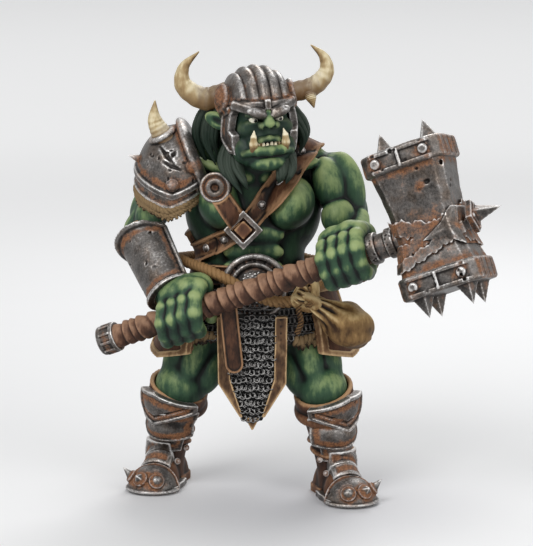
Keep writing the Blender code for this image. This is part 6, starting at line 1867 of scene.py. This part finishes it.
def make_plates(side, outer, base, ankle, shaft, place):
    """Knee plate with its pointed hem, the round plate under it, the shin, and lames over the instep."""

    def around(P):
        axis = shaft_axis(P, ankle, shaft)
        across, deep = outer * (P[0] - axis[0]), P[1] - axis[1]
        return np.arctan2(across, -deep), across, deep

    def wrap(angle, inner, out):
        return np.maximum(angle - out, -inner - angle) * 5.5

    def knee(P):
        angle, aside, behind = around(P)
        upper = P[2] - 20.7 - 0.30 * np.minimum(aside, 3.0) - 0.10 * behind
        lower = 13.4 + 2.5 * np.abs(angle - 0.35) - P[2]
        return np.maximum(np.maximum(upper, lower) * 0.85, wrap(angle, 0.9, 1.2))

    def under(P):
        angle = around(P)[0]
        return overlap(P[2] - 16.6, 10.0 + 1.1 * (angle + 0.1) ** 2 - P[2], wrap(angle, 1.05, 1.2))

    def shin(P):
        return overlap(P[2] - 13.0, 7.4 - P[2], wrap(around(P)[0], 0.95, 1.9))

    def lame(start, end):
        def region(P):
            along = -0.75 * P[1] - 0.66 * (P[2] - 4)
            sides = overlap(2.7 - P[2], -outer * P[0] - 2.8, P[1] + 4.0, P[2] - 9.6)
            return overlap(start - along, along - end, sides)

        return region

    low, high = base.low, base.low + base.grain * (base.count - 1)
    bulge = Clay(low, high, base.grain)
    bulge.set(base.field)
    middle = ankle + shaft * (13.0 - ankle[2]) / shaft[2]
    bulge.add(ellipsoid(middle + (-outer * 0.5, -0.6, 0), (4.9, 4.9, 3.4)), k=0.5)
    rows = (
        ("_knee_plate", base, knee, 1.2, 0.45, 0.75, 0.15),
        ("_lower_knee", bulge, under, 0.7, 0.3, 0.6, 0.25),
        ("_shin_plate", base, shin, 0.45, 0.1, 0.5, 0.3),
        ("_ankle_band", base, lame(1.2, 3.7), 0.95, 0.15, 0.8, 0.15),
        ("_instep_plate", base, lame(3.4, 5.8), 0.75, 0.15, 0.8, 0.2),
        ("_instep_lame", base, lame(5.5, 8.4), 0.55, 0.15, 0.8, 0.2),
    )
    for name, form, region, thick, rim, width, stain in rows:
        clay = layer(form, low, high, 0.2, region, thick, rim, width, 0.1)
        P = clay.everywhere()
        if name == "_knee_plate":
            angle = around(P)[0]
            step = np.abs(13.4 + 2.5 * np.abs(angle - 0.35) + 2.1 - P[2]) - 0.32
            clay.set(clay.field + np.where(knee(P) < -0.9, np.clip(-step / 0.2, 0, 1) * 0.4, 0))
        if name in ("_knee_plate", "_lower_knee"):
            pits(clay, 41, (-7, -11, 11), (7, -3, 20), 40, (0.2, 0.5))
        replaced = (side + name,) if name in ("_knee_plate", "_shin_plate", "_instep_plate") else ()

        def rust(P, region=region, stain=stain):
            return stain + 0.9 * soft(region(P) + 1.35, 0.7)

        cast(side + name + "_iron", clay, STEEL, replaced, place, rust=rust)
    places, ways = [], []
    reach = np.linspace(0, 9, 240)
    for y, z in ((-7.2, 7.6), (-8.6, 5.0)):
        depth = base.sample([-outer * reach, np.full(240, y), np.full(240, z)])
        x = -outer * reach[np.flatnonzero(depth > 0.75)[0]]
        places.append((x + outer * 0.35, y - 0.4, z + 0.2))
        ways.append(unit((-outer * 0.8, -0.7, 0.35)))
    turn, heel = place
    studs(side + "_edge_studs", np.array(places) @ turn.T + heel, [turn @ way for way in ways], 0.55, 0.9)


def make_toe_cap(side, outer, place):
    centre, radii = np.array((0, -0.80 * FOOT_LENGTH, 0.0)), np.array((5.3, 5.0, 5.2))
    dome = ellipsoid(centre, radii)[0]

    def region(P):
        return np.maximum(P[1] + 11.9 + 0.04 * P[0] ** 2, 0.5 - P[2])

    clay = layer(dome, (-8.0, -21.5, -0.2), (8.0, -9.5, 7.2), 0.15, region, 0.0, 0.35, 0.6, 1.6)

    def on_cap(angle, height):
        share = math.sqrt(1 - (height / radii[2]) ** 2)
        reach = np.array((outer * math.sin(angle) * radii[0], -math.cos(angle) * radii[1], 0)) * share
        point = centre + reach + (0, 0, height)
        return point, unit((point - centre) / radii**2)

    spots = []
    for angle, height, tip in ((-0.50, 2.9, False), (0.30, 3.1, True)):
        point, out = on_cap(angle, height)
        turn = turn_to(out)
        clay.add(ellipsoid(point, (1.35, 1.35, 0.9), turn), ring(point + 0.1 * out, out, 1.25, 0.32), k=0.15)
        if tip:
            clay.add(spike(point + 0.3 * out, out, 1.0, 1.7, True, 0.4), k=0.1)
        else:
            clay.add(ellipsoid(point + 0.45 * out, (0.95, 0.95, 0.65), turn), k=0.1)
        spots.append((point, out))
    point, out = on_cap(1.15, 3.0)
    clay.add(spike(point, out + (0, 0, 0.35), 1.05, 2.9), ring(point + 0.2 * out, out, 1.0, 0.35), k=0.2)
    spots.append((point, out))
    pits(clay, 51, (-5, -19, 1), (5, -12, 5.2), 26, (0.2, 0.5))

    def rust(P):
        near = sum(1.5 * glow(P, spot, 1.8) - 2.4 * glow(P, spot + 1.2 * way, 0.8) for spot, way in spots)
        return near + 0.8 * soft(P[1] + 12.9, 0.7) + 0.2

    cast(side + "_toe_cap_iron", clay, STEEL, (side + "_toe_cap",), place, rust=rust)


def make_boots():
    make_boot("right", -1, RIGHT_KNEE, RIGHT_ANKLE, RIGHT_TOE_OUT)
    make_boot("left", 1, LEFT_KNEE, LEFT_ANKLE, LEFT_TOE_OUT)


# Stage


CAMERA_EYE, CAMERA_AIM, LENS = (2.3, -450, 115), (2.3, 0, 44), 150.2
LIGHT_AIM = (0, -5, 42)
LIGHTS = (
    ("key", (-170, -300, 330), 220, 0.95),
    ("fill", (260, -260, 200), 260, 0.42),
    ("back", (80, 240, 300), 200, 0.55),
)


def take_photo():
    """The photo's camera, a pale floor and soft studio light."""
    place_camera()
    for light in LIGHTS:
        place_light(*light)
    make_world()
    make_floor()


def place_camera():
    eye, aim = np.array(CAMERA_EYE), np.array(CAMERA_AIM)
    camera = bpy.data.cameras.new("camera")
    camera.lens = LENS
    camera.sensor_width = 36.0
    camera.clip_start = 0.01
    obj = bpy.data.objects.new("camera", camera)
    obj.location = (eye + FIGURE_SHIFT) * MM
    obj.rotation_euler = Vector(aim - eye).to_track_quat("-Z", "Y").to_euler()
    bpy.context.scene.collection.objects.link(obj)
    bpy.context.scene.camera = obj


def place_light(name, place, size, power):
    light = bpy.data.lights.new(name, "AREA")
    light.shape = "DISK"
    light.size = size * MM
    light.energy = power
    lamp = bpy.data.objects.new(name, light)
    lamp.location = (np.array(place) + FIGURE_SHIFT) * MM
    toward = Vector(np.array(LIGHT_AIM) - np.array(place))
    lamp.rotation_euler = toward.to_track_quat("-Z", "Y").to_euler()
    bpy.context.scene.collection.objects.link(lamp)


def make_world():
    """A sky that lights the figure, and plain paper where the camera looks past it."""
    scene = bpy.context.scene
    scene.view_settings.view_transform = "Standard"
    scene.world = bpy.data.worlds.new("world")
    scene.world.use_nodes = True
    tree = scene.world.node_tree
    sky = tree.nodes["Background"]
    sky.inputs["Color"].default_value = (0.86, 0.87, 0.88, 1.0)
    sky.inputs["Strength"].default_value = 0.55
    paper = tree.nodes.new("ShaderNodeBackground")
    paper.inputs["Color"].default_value = (0.715, 0.715, 0.715, 1.0)
    both_skies = tree.nodes.new("ShaderNodeMixShader")
    tree.links.new(seen_directly(tree), both_skies.inputs[0])
    tree.links.new(sky.outputs[0], both_skies.inputs[1])
    tree.links.new(paper.outputs[0], both_skies.inputs[2])
    tree.links.new(both_skies.outputs[0], tree.nodes["World Output"].inputs["Surface"])


def seen_directly(tree):
    """1 for rays from the camera, also by way of a mirror or glass, and 0 for light."""
    rays = tree.nodes.new("ShaderNodeLightPath")
    total = rays.outputs["Is Camera Ray"]
    for name in ("Is Glossy Ray", "Is Transmission Ray"):
        node = tree.nodes.new("ShaderNodeMath")
        node.operation = "MAXIMUM"
        tree.links.new(total, node.inputs[0])
        tree.links.new(rays.outputs[name], node.inputs[1])
        total = node.outputs[0]
    return total


def make_floor():
    """A wide pale floor that runs out into the pale background on every side, with a painted shadow round the
    figure and a painted glow, seen only from the camera, that brightens it away from the figure.
    """
    around = np.linspace(0, 2 * np.pi, 96, endpoint=False)
    mesh = bpy.data.meshes.new("floor")
    mesh.from_pydata([(9 * math.cos(a), 9 * math.sin(a), -1e-5) for a in around], [], [list(range(96))])
    obj = bpy.data.objects.new("floor", mesh)
    n = Nodes("paper", 0.9)
    away = n.tree.nodes.new("ShaderNodeVectorMath")
    away.operation = "LENGTH"
    n.put(away.inputs[0], n.place)
    away = away.outputs["Value"]
    # Painted light: the floor glows for camera rays, the more the farther it lies from the figure, and a
    # little less again far out.
    pale = n.math("MULTIPLY", n.ramp(away, 0.05, 0.45), 0.15)
    pale = n.plus(pale, n.ramp(away, 0.13, 0.80), 0.25)
    pale = n.plus(pale, n.ramp(away, 0.9, 3.0), -0.09)
    n.put(n.shader.inputs["Emission Color"], (1.0, 1.0, 1.0))
    n.put(n.shader.inputs["Emission Strength"], n.math("MULTIPLY", seen_directly(n.tree), pale))
    grey = n.mix(n.noise(60.0), (0.80, 0.80, 0.805), (0.82, 0.82, 0.82))
    # Painted shadow: the floor is darker within about 55 mm of the middle, under the figure.
    colour = n.mix(n.ramp(away, 0.0, 0.055), (0.57, 0.57, 0.59), grey)
    mesh.materials.append(n.finish(colour))
    bpy.context.scene.collection.objects.link(obj)


def main():
    body = sculpt_body()
    sculpt_head()
    make_hammer()
    make_arm_armour()
    make_gear(body)
    make_boots()
    take_photo()


main()
